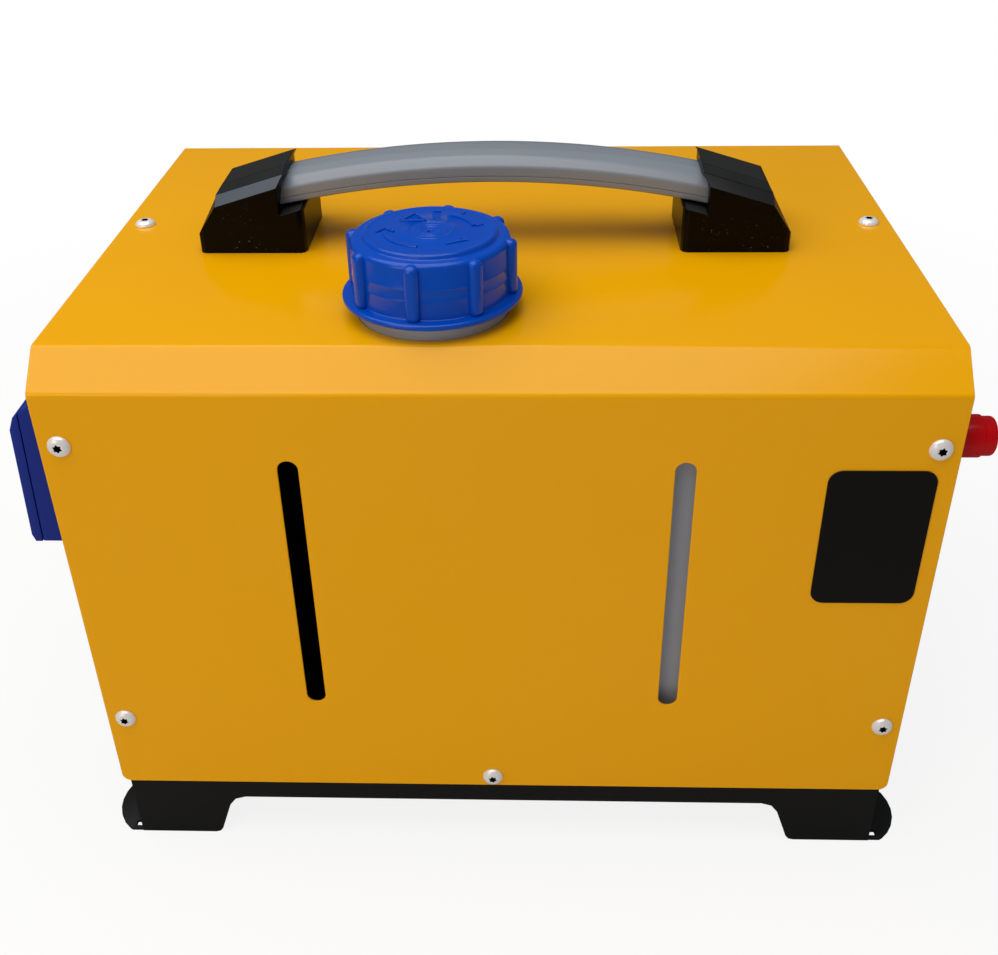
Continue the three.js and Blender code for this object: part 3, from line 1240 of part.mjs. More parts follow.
/** Intake grille in its own frame: Z outwards from the panel, with a spigot towards the heater. */
function grilleSolid() {
  const spigot = PANEL_OUTER_X + GAP - HEATER_LENGTH / 2 - GAP;
  const wall = GRILLE_OPENING_RADIUS + DUCT_WALL;
  const rim = turned([
    [GRILLE_OPENING_RADIUS, -spigot],
    [wall, -spigot],
    [wall, 0],
    [GRILLE_RIM_RADIUS, 0],
    [GRILLE_RIM_RADIUS, GRILLE_THICKNESS],
    [GRILLE_OPENING_RADIUS, GRILLE_THICKNESS],
  ], 28);
  const pitch = GRILLE_OPENING_RADIUS / GRILLE_RINGS;
  const depth = GRILLE_THICKNESS - 1;
  const rings = Array.from({ length: GRILLE_RINGS - 1 }, (_, k) => {
    const radius = pitch * (k + 1);
    return tubeRing(radius + GRILLE_BAR / 2, radius - GRILLE_BAR / 2, 0, depth, 18);
  });
  const hub = cylinder(pitch / 2, 0, depth, 12);
  const spoke = box(0, GRILLE_OPENING_RADIUS + DUCT_WALL / 2, -GRILLE_BAR / 2, GRILLE_BAR / 2, 0, depth);
  const spokes = Array.from({ length: GRILLE_SPOKES }, (_, k) => placed(
    spoke,
    new THREE.Matrix4().makeRotationZ((2 * Math.PI * (k + 1 / 6)) / GRILLE_SPOKES),
  ));
  return join(rim, ...rings, hub, ...spokes);
}

function buildIntakeGrille() {
  const mesh = piece('intake_grille', grilleSolid(), darkPlastic());
  mesh.position.set(-PANEL_OUTER_X - GAP, HEATER_Y, HEATER_Z);
  mesh.rotation.y = -Math.PI / 2;
}

// ---- Control housing ----

const faceLean = Math.atan2(SIDE_REACH - CONTROL_FACE_TOP_X, CONTROL_FACE_TOP_Z - CONTROL_FACE_BOTTOM_Z);

// The buttons stand out furthest on the left; the outlet duct reaches as far on the right.
const DUCT_REACH = SIDE_REACH
  - (BUTTON_UP - BUTTON_RADIUS + BUTTON_EDGE) * Math.sin(faceLean)
  + BUTTON_PROUD * Math.cos(faceLean);

/** The control face's own frame: X along the face to the front of the heater, Y up it, Z out of it. */
const faceMatrix = new THREE.Matrix4()
  .makeTranslation(-SIDE_REACH, 0, CONTROL_FACE_BOTTOM_Z)
  .multiply(new THREE.Matrix4().makeRotationY(faceLean))
  .multiply(new THREE.Matrix4().makeBasis(Y_AXIS.clone().negate(), Z_AXIS, X_AXIS.clone().negate()));

/** Line that parts the bezel from the housing behind it, at a height, moved by a clearance. */
function partingX(z, clearance) {
  const lean = Math.tan(faceLean);
  return SIDE_REACH - BEZEL_THICKNESS - (z - CONTROL_FACE_BOTTOM_Z) * lean + clearance;
}

/** Height of the housing's sloping top at a distance from the middle of the case. */
function slopingTop(x) {
  const root = PANEL_OUTER_X + GAP;
  const fall = (CONTROL_ROOT_TOP - CONTROL_NOSE_Z) / (CONTROL_NOSE_X - root);
  return CONTROL_ROOT_TOP - fall * (x - root);
}

function buttonPlaces() {
  const first = SCREEN_Y + (BUTTON_PITCH * (BUTTON_NAMES.length - 1)) / 2;
  return BUTTON_NAMES.map((name, k) => [name, first - BUTTON_PITCH * k]);
}

function buildControlHousing() {
  const root = PANEL_OUTER_X + GAP;
  const topX = partingX(CONTROL_NOSE_Z, 0);
  const housing = alongY(outline([
    [-root, CONTROL_BOTTOM],
    [-root, CONTROL_ROOT_TOP],
    [-topX, slopingTop(topX)],
    [-partingX(CONTROL_BOTTOM, 0), CONTROL_BOTTOM],
  ]), CONTROL_FRONT, CONTROL_BACK);
  piece('control_housing', housing, navyPlastic());
  const seam = topX + GAP;
  const slab = alongY(outline([
    [-partingX(CONTROL_BOTTOM, GAP), CONTROL_BOTTOM],
    [-seam, slopingTop(seam)],
    [-CONTROL_NOSE_X, CONTROL_NOSE_Z],
    [-CONTROL_FACE_TOP_X, CONTROL_FACE_TOP_Z],
    [-SIDE_REACH, CONTROL_FACE_BOTTOM_Z],
    [CONTROL_LIP - SIDE_REACH, CONTROL_BOTTOM],
  ]), CONTROL_FRONT, CONTROL_BACK);
  const [w, h] = [SCREEN_WIDTH / 2, SCREEN_HEIGHT / 2];
  const pocket = alongZ(
    rectangle(-SCREEN_Y - w, -SCREEN_Y + w, SCREEN_UP - h, SCREEN_UP + h, 2),
    -SCREEN_THICKNESS - GAP, THROUGH, 1);
  const wells = buttonPlaces().map(([, y]) => shifted(join(
    cylinder(BUTTON_RADIUS + GAP, -2 * BEZEL_THICKNESS, THROUGH, 14),
    cylinder(BUTTON_FLANGE_RADIUS + GAP, -2 * BEZEL_THICKNESS, -1.5, 14),
  ), -y, BUTTON_UP, 0));
  piece('control_bezel', cut(slab, placed(join(pocket, ...wells), faceMatrix)), navyPlastic());
  const glass = alongZ(
    rectangle(GAP - SCREEN_Y - w, -SCREEN_Y + w - GAP, SCREEN_UP - h + GAP, SCREEN_UP + h - GAP, 2),
    -SCREEN_THICKNESS, -GAP, 1);
  piece('control_screen', placed(glass, faceMatrix), darkGlass());
}

function buildButtons() {
  const lip = -1.5 - GAP;
  const button = turned([
    [0, lip - BUTTON_FLANGE],
    [BUTTON_FLANGE_RADIUS, lip - BUTTON_FLANGE],
    [BUTTON_FLANGE_RADIUS, lip],
    [BUTTON_RADIUS, lip],
    [BUTTON_RADIUS, BUTTON_PROUD - BUTTON_EDGE],
    [BUTTON_RADIUS - BUTTON_EDGE, BUTTON_PROUD],
    [0, BUTTON_PROUD],
  ], 12);
  for (const [name, y] of buttonPlaces()) {
    piece(`button_${name}`, placed(shifted(button, -y, BUTTON_UP, 0), faceMatrix), glossBlack());
  }
}

// ---- Power terminals ----

/** Knob in its own frame: Z outwards, wide grip, narrower tip, blind bore for the post. */
function knobSolid() {
  const edge = 1.4;
  const body = turned([
    [0, 0],
    [KNOB_GRIP_RADIUS, 0],
    [KNOB_GRIP_RADIUS, KNOB_GRIP_LENGTH - 0.6],
    [KNOB_TIP_RADIUS, KNOB_GRIP_LENGTH],
    [KNOB_TIP_RADIUS, KNOB_LENGTH - edge],
    [KNOB_TIP_RADIUS - edge, KNOB_LENGTH],
    [0, KNOB_LENGTH],
  ], 24);
  return cut(body, cylinder(POST_RADIUS + GAP, -THROUGH, KNOB_LENGTH - 3, 12));
}

function buildTerminal(name, y, plastic) {
  const place = (solid) => onX(shifted(solid, 0, 0, TERMINAL_BASE_X), y, TERMINAL_Z);
  const bore = POST_RADIUS + GAP;
  const bush = turned([
    [bore, -GAP - PANEL_SHEET],
    [BUSH_SPIGOT_RADIUS, -GAP - PANEL_SHEET],
    [BUSH_SPIGOT_RADIUS, 0],
    [BUSH_RADIUS, 0],
    [BUSH_RADIUS, BUSH_HEIGHT],
    [bore, BUSH_HEIGHT],
  ], 20);
  piece(`${name}_bush`, place(bush), plastic);
  const washerFrom = BUSH_HEIGHT + GAP;
  piece(`${name}_washer`, place(tubeRing(WASHER_RADIUS, bore, washerFrom, washerFrom + WASHER_THICKNESS, 16)), zinc());
  const knobFrom = washerFrom + WASHER_THICKNESS + GAP;
  piece(`${name}_knob`, place(shifted(knobSolid(), 0, 0, knobFrom)), plastic.clone());
  const postTop = knobFrom + KNOB_LENGTH - 4;
  const nutTop = -2 * GAP - PANEL_SHEET;
  const post = turned([
    [0, postTop - POST_LENGTH],
    [POST_RADIUS, postTop - POST_LENGTH],
    [POST_RADIUS, nutTop - POST_NUT_LENGTH],
    [POST_NUT_RADIUS, nutTop - POST_NUT_LENGTH],
    [POST_NUT_RADIUS, nutTop],
    [POST_RADIUS, nutTop],
    [POST_RADIUS, postTop],
    [0, postTop],
  ], 12);
  piece(`${name}_post`, place(post), brass());
}

// ---- Build ----

buildBaseTray();
buildEndPanels();
buildCover();
buildLabelPlate();
buildCoverScrews();
buildHandle();
buildTank();
buildCap();
buildPickup();
buildPump();
buildFuelLines();
buildHeaterCase();
buildExchanger();
buildBurner();
buildMotor();
buildRotor();
buildControlUnit();
buildPipeStubs();
buildOutletCollar();
buildIntakeGrille();
buildControlHousing();
buildButtons();
buildTerminal('positive', POSITIVE_Y, redPlastic());
buildTerminal('negative', NEGATIVE_Y, glossBlack());

export default heater;
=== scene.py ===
"""Looks of a portable diesel air heater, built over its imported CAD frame.

Forms are shaped in millimetres in the row frame (X right, Y back, Z up, ground at 0) and are
scaled to metres when they are placed.
"""

import json
import logging
import math
from collections.abc import Callable, Sequence
from dataclasses import dataclass
from enum import Enum

import bmesh
import bpy
from mathutils import Matrix, Vector

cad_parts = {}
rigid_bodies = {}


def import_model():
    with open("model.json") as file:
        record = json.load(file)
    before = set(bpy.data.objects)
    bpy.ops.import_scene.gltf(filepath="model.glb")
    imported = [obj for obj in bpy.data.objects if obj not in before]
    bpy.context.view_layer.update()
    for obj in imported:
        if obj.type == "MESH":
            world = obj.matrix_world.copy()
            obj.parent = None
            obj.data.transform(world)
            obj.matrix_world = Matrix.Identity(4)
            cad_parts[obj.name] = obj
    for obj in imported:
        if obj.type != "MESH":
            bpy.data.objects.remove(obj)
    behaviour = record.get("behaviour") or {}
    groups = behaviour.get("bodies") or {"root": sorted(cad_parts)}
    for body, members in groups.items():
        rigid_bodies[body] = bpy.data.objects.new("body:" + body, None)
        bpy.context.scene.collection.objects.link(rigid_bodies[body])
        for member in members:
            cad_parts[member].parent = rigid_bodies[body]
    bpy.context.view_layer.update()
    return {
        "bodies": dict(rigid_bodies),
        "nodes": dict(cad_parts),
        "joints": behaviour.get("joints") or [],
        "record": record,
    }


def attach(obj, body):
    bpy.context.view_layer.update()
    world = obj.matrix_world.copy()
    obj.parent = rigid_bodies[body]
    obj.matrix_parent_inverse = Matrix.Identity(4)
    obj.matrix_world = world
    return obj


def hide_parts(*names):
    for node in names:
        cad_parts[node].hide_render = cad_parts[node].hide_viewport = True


LOG = logging.getLogger("heater")
TO_METRES = 0.001
FLAT_AREA = 0.0006  # square metres, past which a face is a true flat
WHITE = (1.0, 1.0, 1.0, 1.0)
QUARTER = math.pi / 2

Corner = tuple[float, ...]
EdgeTest = Callable[[bmesh.types.BMEdge], bool]
FaceTest = Callable[[bmesh.types.BMFace], bool]


class Body(str, Enum):
    """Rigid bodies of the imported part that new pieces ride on."""

    CASE = "case"
    CAP = "fuel_cap"
    POSITIVE_KNOB = "positive_knob"
    NEGATIVE_KNOB = "negative_knob"


class Slot(str, Enum):
    """Material slots of the record."""

    YELLOW_PAINT = "yellow_paint"
    BLACK_POWDER = "black_powder_coat"
    GLOSS_BLACK = "gloss_black_plastic"
    DARK_PLASTIC = "dark_plastic"
    GREY_SLEEVE = "grey_sleeve"
    BLUE_PLASTIC = "blue_plastic"
    NATURAL_PLASTIC = "natural_plastic"
    NAVY_PLASTIC = "navy_plastic"
    RED_PLASTIC = "red_plastic"
    DARK_GLASS = "dark_glass"
    ZINC = "bright_zinc"
    STEEL = "steel"
    BRASS = "brass"
    CAST = "cast_aluminium"
    RUBBER = "rubber"


# ---------------------------------------------------------------- shader nodes


class Value:
    """A shader socket that can be used in Python expressions."""

    def __init__(self, surface: "Surface", socket: bpy.types.NodeSocket | None) -> None:
        """Wraps a socket of a surface's node tree."""
        self.surface = surface
        self.socket = socket

    def _with(self, operation: str, first: "Value | float", second: "Value | float") -> "Value":
        """Adds one Math node."""
        return self.surface.node("ShaderNodeMath", {"operation": operation}, {0: first, 1: second})

    def __add__(self, other: "Value | float") -> "Value":
        """Sum."""
        return self._with("ADD", self, other)

    __radd__ = __add__

    def __mul__(self, other: "Value | float") -> "Value":
        """Product."""
        return self._with("MULTIPLY", self, other)

    __rmul__ = __mul__

    def __sub__(self, other: "Value | float") -> "Value":
        """Difference."""
        return self._with("SUBTRACT", self, other)

    def __rsub__(self, other: "Value | float") -> "Value":
        """Reflected difference."""
        return self._with("SUBTRACT", other, self)

    def __or__(self, other: "Value | float") -> "Value":
        """The larger of the two."""
        return self._with("MAXIMUM", self, other)

    __ror__ = __or__

    def ramp(self, low: float, high: float) -> "Value":
        """Rises from 0 at low to 1 at high."""
        inputs = {0: self, 1: low, 2: high, 3: 0.0, 4: 1.0}
        return self.surface.node("ShaderNodeMapRange", {"clamp": True}, inputs)


class Surface:
    """The nodes of one material or of the world."""

    def __init__(self, owner: bpy.types.Material | bpy.types.World) -> None:
        """Empties a node tree.

        Args:
            owner: what the tree belongs to.
        """
        owner.use_nodes = True
        self.tree = owner.node_tree
        self.tree.nodes.clear()

    def node(
        self,
        kind: str,
        settings: dict | None = None,
        inputs: dict | None = None,
        output: int | str = 0,
    ) -> Value:
        """Adds a node.

        Args:
            kind: the node's type.
            settings: its properties, set first.
            inputs: its sockets by name or number, each a number, a colour, a vector or a Value.
            output: the socket to return.

        Returns:
            The chosen output.
        """
        made = self.tree.nodes.new(kind)
        for key, value in (settings or {}).items():
            setattr(made, key, value)
        for key, value in (inputs or {}).items():
            if isinstance(value, Value):
                self.tree.links.new(value.socket, made.inputs[key])
            else:
                made.inputs[key].default_value = value
        return Value(self, made.outputs[output] if made.outputs else None)

    def place(self) -> Value:
        """Object coordinates, in metres."""
        return self.node("ShaderNodeTexCoord", output="Object")

    def noise(self, size: float, detail: float = 3.0, stretch: Corner = (1.0, 1.0, 1.0)) -> Value:
        """Adds a noise.

        Args:
            size: how far apart its features are, in metres.
            detail: how many finer layers it has.
            stretch: how much longer its features are along each axis.

        Returns:
            The noise, about 0.5 on average.
        """
        inputs = {"Vector": self.place(), "Scale": tuple(1.0 / (size * s) for s in stretch)}
        spot = self.node("ShaderNodeMapping", {"vector_type": "POINT"}, inputs)
        return self.node("ShaderNodeTexNoise", inputs={"Vector": spot, "Scale": 1.0, "Detail": detail})

    def blend(self, amount: Value | float, first: Value | Corner, second: Value | Corner) -> Value:
        """Mixes two colours."""
        inputs = {0: amount, 6: first, 7: second}
        return self.node("ShaderNodeMix", {"data_type": "RGBA"}, inputs, 2)

    def bump(self, height: Value, distance: float, below: Value | None = None) -> Value:
        """Raises the surface by a height.

        Args:
            height: from 0 to 1.
            distance: how high 1 is, in metres.
            below: the normal that it is laid over.

        Returns:
            The new normal.
        """
        inputs = {"Height": height, "Distance": distance, "Strength": 1.0}
        if below is not None:
            inputs["Normal"] = below
        return self.node("ShaderNodeBump", inputs=inputs)

    def mix(self, amount: Value | float, first: Value, second: Value) -> Value:
        """Mixes two shaders."""
        return self.node("ShaderNodeMixShader", inputs={0: amount, 1: first, 2: second})

    def glow(self, strength: float) -> Value:
        """White light of a strength, for the world."""
        return self.node("ShaderNodeBackground", inputs={"Color": WHITE, "Strength": strength})

    def ray(self, kind: str) -> Value:
        """Tells rays of a kind."""
        return self.node("ShaderNodeLightPath", output=f"Is {kind} Ray")


def linear(code: str, gain: float = 1.0) -> Corner:
    """Turns an sRGB hex code into a linear colour.

    Args:
        code: the colour, such as #F3AD00.
        gain: what the linear colour is multiplied by.

    Returns:
        Red, green, blue and alpha.
    """
    parts = [int(code[i : i + 2], 16) / 255 for i in (1, 3, 5)]
    curve = [p / 12.92 if p <= 0.04045 else ((p + 0.055) / 1.055) ** 2.4 for p in parts]
    return (*(min(1.0, c * gain) for c in curve), 1.0)


@dataclass(frozen=True)
class Finish:
    """A finish: an even colour with the small unevenness that a real surface has.

    Sizes and depths are in metres. Specks of dust begin where a fine noise is above the specks level.
    """

    name: str
    slot: Slot
    color: str
    roughness: float = 0.4
    metallic: float = 0.0
    shine: float = 0.5
    grain: float = 0.0012
    depth: float = 0.00001
    brushed: Corner = (1.0, 1.0, 1.0)
    ripple: float = 0.0
    mottle: float = 0.05
    mottle_size: float = 0.06
    specks: float = 0.0

    def material(self) -> bpy.types.Material:
        """Makes the finish's material once.

        Returns:
            The material.
        """
        known = bpy.data.materials.get(self.name)
        if known is not None:
            return known
        material = bpy.data.materials.new(self.name)
        surface = Surface(material)
        cloud = surface.noise(self.mottle_size, 4.0)
        fine = surface.noise(self.grain, 2.0, self.brushed)
        pale, deep = linear(self.color, 1 + self.mottle), linear(self.color, 1 - self.mottle)
        tone = surface.blend(cloud, deep, pale)
        rough = (cloud - 0.5) * 0.12 + (fine - 0.5) * 0.06 + self.roughness
        if self.specks:
            speck = surface.noise(0.0011, 1.0).ramp(self.specks, self.specks + 0.08)
            dust = speck * surface.noise(0.02, 2.0).ramp(0.45, 0.7)
            tone = surface.blend(dust * 0.5, tone, linear("#A9AAA6"))
            rough = rough + dust * 0.3
        normal = surface.bump(fine, self.depth)
        if self.ripple:
            normal = surface.bump(surface.noise(0.007, 1.0), self.ripple, normal)
        inputs = {
            "Base Color": tone,
            "Roughness": rough,
            "Metallic": self.metallic,
            "Specular IOR Level": self.shine,
            "Normal": normal,
        }
        shader = surface.node("ShaderNodeBsdfPrincipled", inputs=inputs)
        surface.node("ShaderNodeOutputMaterial", inputs={"Surface": shader})
        return material


YELLOW_PAINT = Finish(
    "yellow_paint_finish",
    Slot.YELLOW_PAINT,
    "#F3AD00",
    0.17,
    shine=0.3,
    grain=0.0016,
    depth=0.000006,
    ripple=0.00001,
    mottle=0.015,
)
BLACK_POWDER = Finish(
    "black_powder_finish",
    Slot.BLACK_POWDER,
    "#15171A",
    0.48,
    shine=0.3,
    grain=0.0009,
    depth=0.00004,
    mottle=0.1,
)
GLOSS_BLACK = Finish(
    "gloss_black_finish",
    Slot.GLOSS_BLACK,
    "#040404",
    0.3,
    shine=0.1,
    grain=0.002,
    ripple=0.00002,
    mottle=0.1,
    specks=0.72,
)
# Lighter than the feet's gloss black on their broad upward faces: painted sheen, with some dust.
SHEEN_AND_DUST_TOP = Finish(
    "sheen_and_dust_top_finish",
    Slot.GLOSS_BLACK,
    "#232425",
    0.36,
    shine=0.2,
    grain=0.0014,
    depth=0.00002,
    mottle=0.2,
    mottle_size=0.012,
)
# Blue-grey on the left foot's sloping facets: painted light from the front left.
PAINTED_LIT_SLOPE = Finish(
    "painted_lit_slope_finish",
    Slot.GLOSS_BLACK,
    "#49515C",
    0.4,
    shine=0.2,
    grain=0.0014,
    depth=0.00002,
    mottle=0.12,
    mottle_size=0.02,
)
LABEL_BLACK = Finish(
    "label_black_finish", Slot.GLOSS_BLACK, "#0C0D0D", 0.34, shine=0.3, grain=0.002, depth=0.000004
)
GREY_SLEEVE = Finish(
    "grey_sleeve_finish", Slot.GREY_SLEEVE, "#838B96", 0.3, grain=0.003, brushed=(6.0, 1.0, 1.0), mottle=0.06
)
BLUE_PLASTIC = Finish(
    "blue_plastic_finish", Slot.BLUE_PLASTIC, "#0049BC", 0.2, shine=0.35, grain=0.002, depth=0.000005
)
NATURAL_PLASTIC = Finish(
    "natural_plastic_finish",
    Slot.NATURAL_PLASTIC,
    "#A6ADBB",
    0.42,
    shine=0.4,
    grain=0.002,
    depth=0.00002,
    mottle=0.04,
)
NAVY_PLASTIC = Finish(
    "navy_plastic_finish",
    Slot.NAVY_PLASTIC,
    "#0A2A92",
    0.36,
    shine=0.3,
    grain=0.0008,
    depth=0.00002,
    mottle=0.06,
)
DARK_PLASTIC = Finish(
    "dark_plastic_finish", Slot.DARK_PLASTIC, "#1B1C1E", 0.5, shine=0.35, grain=0.0009, depth=0.00003
)
DARK_GLASS = Finish("dark_glass_finish", Slot.DARK_GLASS, "#0B1116", 0.08, depth=0.0)
RED_PLASTIC = Finish("red_plastic_finish", Slot.RED_PLASTIC, "#C4000C", 0.26, shine=0.25, grain=0.0015)
ZINC = Finish("zinc_finish", Slot.ZINC, "#F6F7FA", 0.26, 0.2, shine=0.8, grain=0.0008, mottle=0.03)
# Near-black painted shade inside the screw recesses.
RECESS_SHADE = Finish("recess_shadow_finish", Slot.ZINC, "#08090A", 0.5, shine=0.2, grain=0.0008)
STEEL = Finish(
    "steel_finish", Slot.STEEL, "#A3A6A9", 0.36, 1.0, grain=0.0008, depth=0.00002, brushed=(8.0, 1.0, 1.0)
)
BRASS = Finish("brass_finish", Slot.BRASS, "#CBA052", 0.3, 1.0, grain=0.0008)
CAST = Finish(
    "cast_aluminium_finish", Slot.CAST, "#B3B5B6", 0.5, 1.0, grain=0.001, depth=0.00008, mottle=0.1
)
RUBBER = Finish("rubber_finish", Slot.RUBBER, "#1C1C1C", 0.75, grain=0.001, depth=0.00003)

NODE_FINISHES = (
    YELLOW_PAINT,
    BLACK_POWDER,
    GLOSS_BLACK,
    GREY_SLEEVE,
    BLUE_PLASTIC,
    NATURAL_PLASTIC,
    NAVY_PLASTIC,
    DARK_PLASTIC,
    DARK_GLASS,
    RED_PLASTIC,
    ZINC,
    STEEL,
    BRASS,
    CAST,
    RUBBER,
)


# ---------------------------------------------------------------- forms


class Form:
    """A mesh in the making, in millimetres."""

    def __init__(self) -> None:
        """Starts empty."""
        self.bm = bmesh.new()

    @classmethod
    def from_node(cls, node: str) -> "Form":
        """Copies a CAD node and merges its loose triangles into flat faces.

        Args:
            node: the node's name.

        Returns:
            The form.
        """
        form = cls()
        form.bm.from_mesh(bpy.data.objects[node].data)
        bmesh.ops.scale(form.bm, vec=(1 / TO_METRES,) * 3, verts=form.bm.verts)
        bmesh.ops.remove_doubles(form.bm, verts=form.bm.verts, dist=0.002)
        bmesh.ops.dissolve_limit(
            form.bm,
            angle_limit=math.radians(0.6),
            verts=form.bm.verts,
            edges=form.bm.edges,
            use_dissolve_boundaries=False,
        )
        return form

    @classmethod
    def line(cls, corners: Sequence[Corner], closed: bool = True, steps: int = 5) -> "Form":
        """Draws a line in the XZ plane.

        Args:
            corners: each an x, a z and, where it is rounded, its radius.
            closed: whether the last corner joins the first.
            steps: edges across each rounding.

        Returns:
            The form.
        """
        form = cls()
        verts = [form.bm.verts.new((c[0], 0, c[1])) for c in corners]
        pairs = list(zip(verts, verts[1:]))
        if closed:
            pairs.append((verts[-1], verts[0]))
        for first, second in pairs:
            form.bm.edges.new((first, second))
        count = len(corners)
        for i, (corner, vert) in enumerate(zip(corners, verts)):
            if len(corner) < 3:
                continue
            spot = Vector(corner[:2])
            back = (Vector(corners[i - 1][:2]) - spot).normalized()
            ahead = (Vector(corners[(i + 1) % count][:2]) - spot).normalized()
            half = back.angle(ahead) / 2
            bmesh.ops.bevel(
                form.bm,
                geom=[vert],
                offset=corner[2] / math.tan(half),
                offset_type="OFFSET",
                segments=steps,
                profile=0.5,
                affect="VERTICES",
                material=-1,
            )
        return form

    @classmethod
    def box(cls, low: Corner, high: Corner) -> "Form":
        """Makes a block.

        Args:
            low: its lowest corner.
            high: its highest corner.

        Returns:
            The form.
        """
        form = cls()
        centre = (Vector(low) + Vector(high)) / 2
        size = Vector(high) - Vector(low)
        matrix = Matrix.Translation(centre) @ Matrix.Diagonal((*size, 1))
        bmesh.ops.create_cube(form.bm, size=1.0, matrix=matrix)
        return form

    @classmethod
    def rod(cls, radius: float, low: float, high: float, sides: int = 48) -> "Form":
        """Makes a round bar along Z.

        Args:
            radius: its radius.
            low: where it starts.
            high: where it ends.
            sides: faces around it.

        Returns:
            The form.
        """
        form = cls()
        bmesh.ops.create_cone(
            form.bm,
            cap_ends=True,
            segments=sides,
            radius1=radius,
            radius2=radius,
            depth=high - low,
            matrix=Matrix.Translation((0, 0, (low + high) / 2)),
        )
        return form

    @classmethod
    def shell(cls, outside: Sequence[Corner], inside: Sequence[Corner], sides: int, steps: int) -> "Form":
        """Turns an outer and an inner line about Z and joins them where they meet.

        Args:
            outside: corners of the outer line, as for line.
            inside: corners of the inner line.
            sides: faces around it.
            steps: edges across each rounding.

        Returns:
            The form.
        """
        form = cls.line(outside, closed=False, steps=steps).spin(sides)
        form.add(cls.line(inside, closed=False).spin(sides))
        bmesh.ops.remove_doubles(form.bm, verts=form.bm.verts, dist=0.01)
        return form.faced()

    def spin(self, steps: int = 72, degrees: float = 360.0) -> "Form":
        """Turns the line about Z, and closes it where the turn isn't full.

        Args:
            steps: faces around it.
            degrees: how far it turns.

        Returns:
            The form.
        """
        full = abs(degrees - 360.0) < 1e-6
        self._turn((0, 0, 1), math.radians(degrees), steps, full)
        bmesh.ops.remove_doubles(self.bm, verts=self.bm.verts, dist=0.0005)
        return self.faced() if full else self.closed()

    def sweep(self, angle: float, steps: int) -> "Form":
        """Turns a closed line about Y into a solid.

        Args:
            angle: how far it turns, in radians.
            steps: faces along it.

        Returns:
            The form.
        """
        self._turn((0, 1, 0), angle, steps, False)
        return self.closed()

    def _turn(self, axis: Corner, angle: float, steps: int, full: bool) -> None:
        """Spins the line about an axis through the origin.

        Args:
            axis: the axis.
            angle: how far it turns, in radians.
            steps: faces around it.
            full: whether the end meets the start.
        """
        bmesh.ops.spin(
            self.bm,
            geom=self.bm.verts[:] + self.bm.edges[:],
            cent=(0, 0, 0),
            axis=axis,
            dvec=(0, 0, 0),
            angle=angle,
            steps=steps,
            use_merge=full,
            use_duplicate=False,
        )

    def extrude(self, vector: Corner) -> "Form":
        """Fills a closed line and gives it depth.

        Args:
            vector: how deep it goes.

        Returns:
            The form.
        """
        bmesh.ops.contextual_create(self.bm, geom=self.bm.edges[:])
        grown = bmesh.ops.extrude_face_region(self.bm, geom=self.bm.faces[:], use_keep_orig=True)
        return self._pulled(grown, vector)

    def drag(self, vector: Corner) -> "Form":
        """Draws an open line along a vector into a sheet.

        Args:
            vector: how far it goes.

        Returns:
            The form.
        """
        grown = bmesh.ops.extrude_edge_only(self.bm, edges=self.bm.edges[:])
        return self._pulled(grown, vector)

    def _pulled(self, grown: dict, vector: Corner) -> "Form":
        """Moves what an extrusion made.

        Args:
            grown: the extrusion's result.
            vector: how far it moves.

        Returns:
            The form.
        """
        verts = [g for g in grown["geom"] if isinstance(g, bmesh.types.BMVert)]
        bmesh.ops.translate(self.bm, vec=vector, verts=verts)
        return self.faced()

    def closed(self) -> "Form":
        """Fills open ends."""
        bmesh.ops.holes_fill(self.bm, edges=[e for e in self.bm.edges if e.is_boundary], sides=0)
        return self.faced()

    def faced(self) -> "Form":
        """Turns every face outwards."""
        bmesh.ops.recalc_face_normals(self.bm, faces=self.bm.faces)
        return self

    def move(self, matrix: Matrix) -> "Form":
        """Moves the whole form."""
        bmesh.ops.transform(self.bm, matrix=matrix, verts=self.bm.verts)
        return self

    def at(self, x: float, y: float, z: float) -> "Form":
        """Shifts the whole form."""
        return self.move(Matrix.Translation((x, y, z)))

    def turned(self, angle: float, axis: str = "Z") -> "Form":
        """Turns the whole form about an axis through the origin, by radians."""
        return self.move(Matrix.Rotation(angle, 4, axis))

    def soften(
        self, width: float, steps: int = 2, angle: float = 60.0, where: EdgeTest | None = None
    ) -> "Form":
        """Bevels the sharp edges.

        Args:
            width: how far in from the edge the bevel starts.
            steps: faces across it.
            angle: degrees between two faces that make an edge sharp.
            where: tells which of them take the bevel.

        Returns:
            The form.
        """
        limit = math.radians(angle)
        sharp = [e for e in self.bm.edges if len(e.link_faces) == 2 and e.calc_face_angle(0.0) >= limit]
        bmesh.ops.bevel(
            self.bm,
            geom=[e for e in sharp if where is None or where(e)],
            offset=width,
            offset_type="OFFSET",
            segments=steps,
            profile=0.5,
            affect="EDGES",
            clamp_overlap=True,
            material=-1,
        )
        return self

    def mark(self, number: int, chosen: FaceTest) -> "Form":
        """Marks faces for an accent.

        Args:
            number: the accent, counted from 1.
            chosen: tells which faces take it.

        Returns:
            The form.
        """
        for face in self.bm.faces:
            if chosen(face):
                face.material_index = number
        return self

    def add(self, *others: "Form") -> "Form":
        """Takes other forms in as shells of the same piece.

        Args:
            others: the forms, which are used up.

        Returns:
            The form.
        """
        for other in others:
            mesh = bpy.data.meshes.new("part")
            other.bm.to_mesh(mesh)
            self.bm.from_mesh(mesh)
            bpy.data.meshes.remove(mesh)
            other.bm.free()
        return self

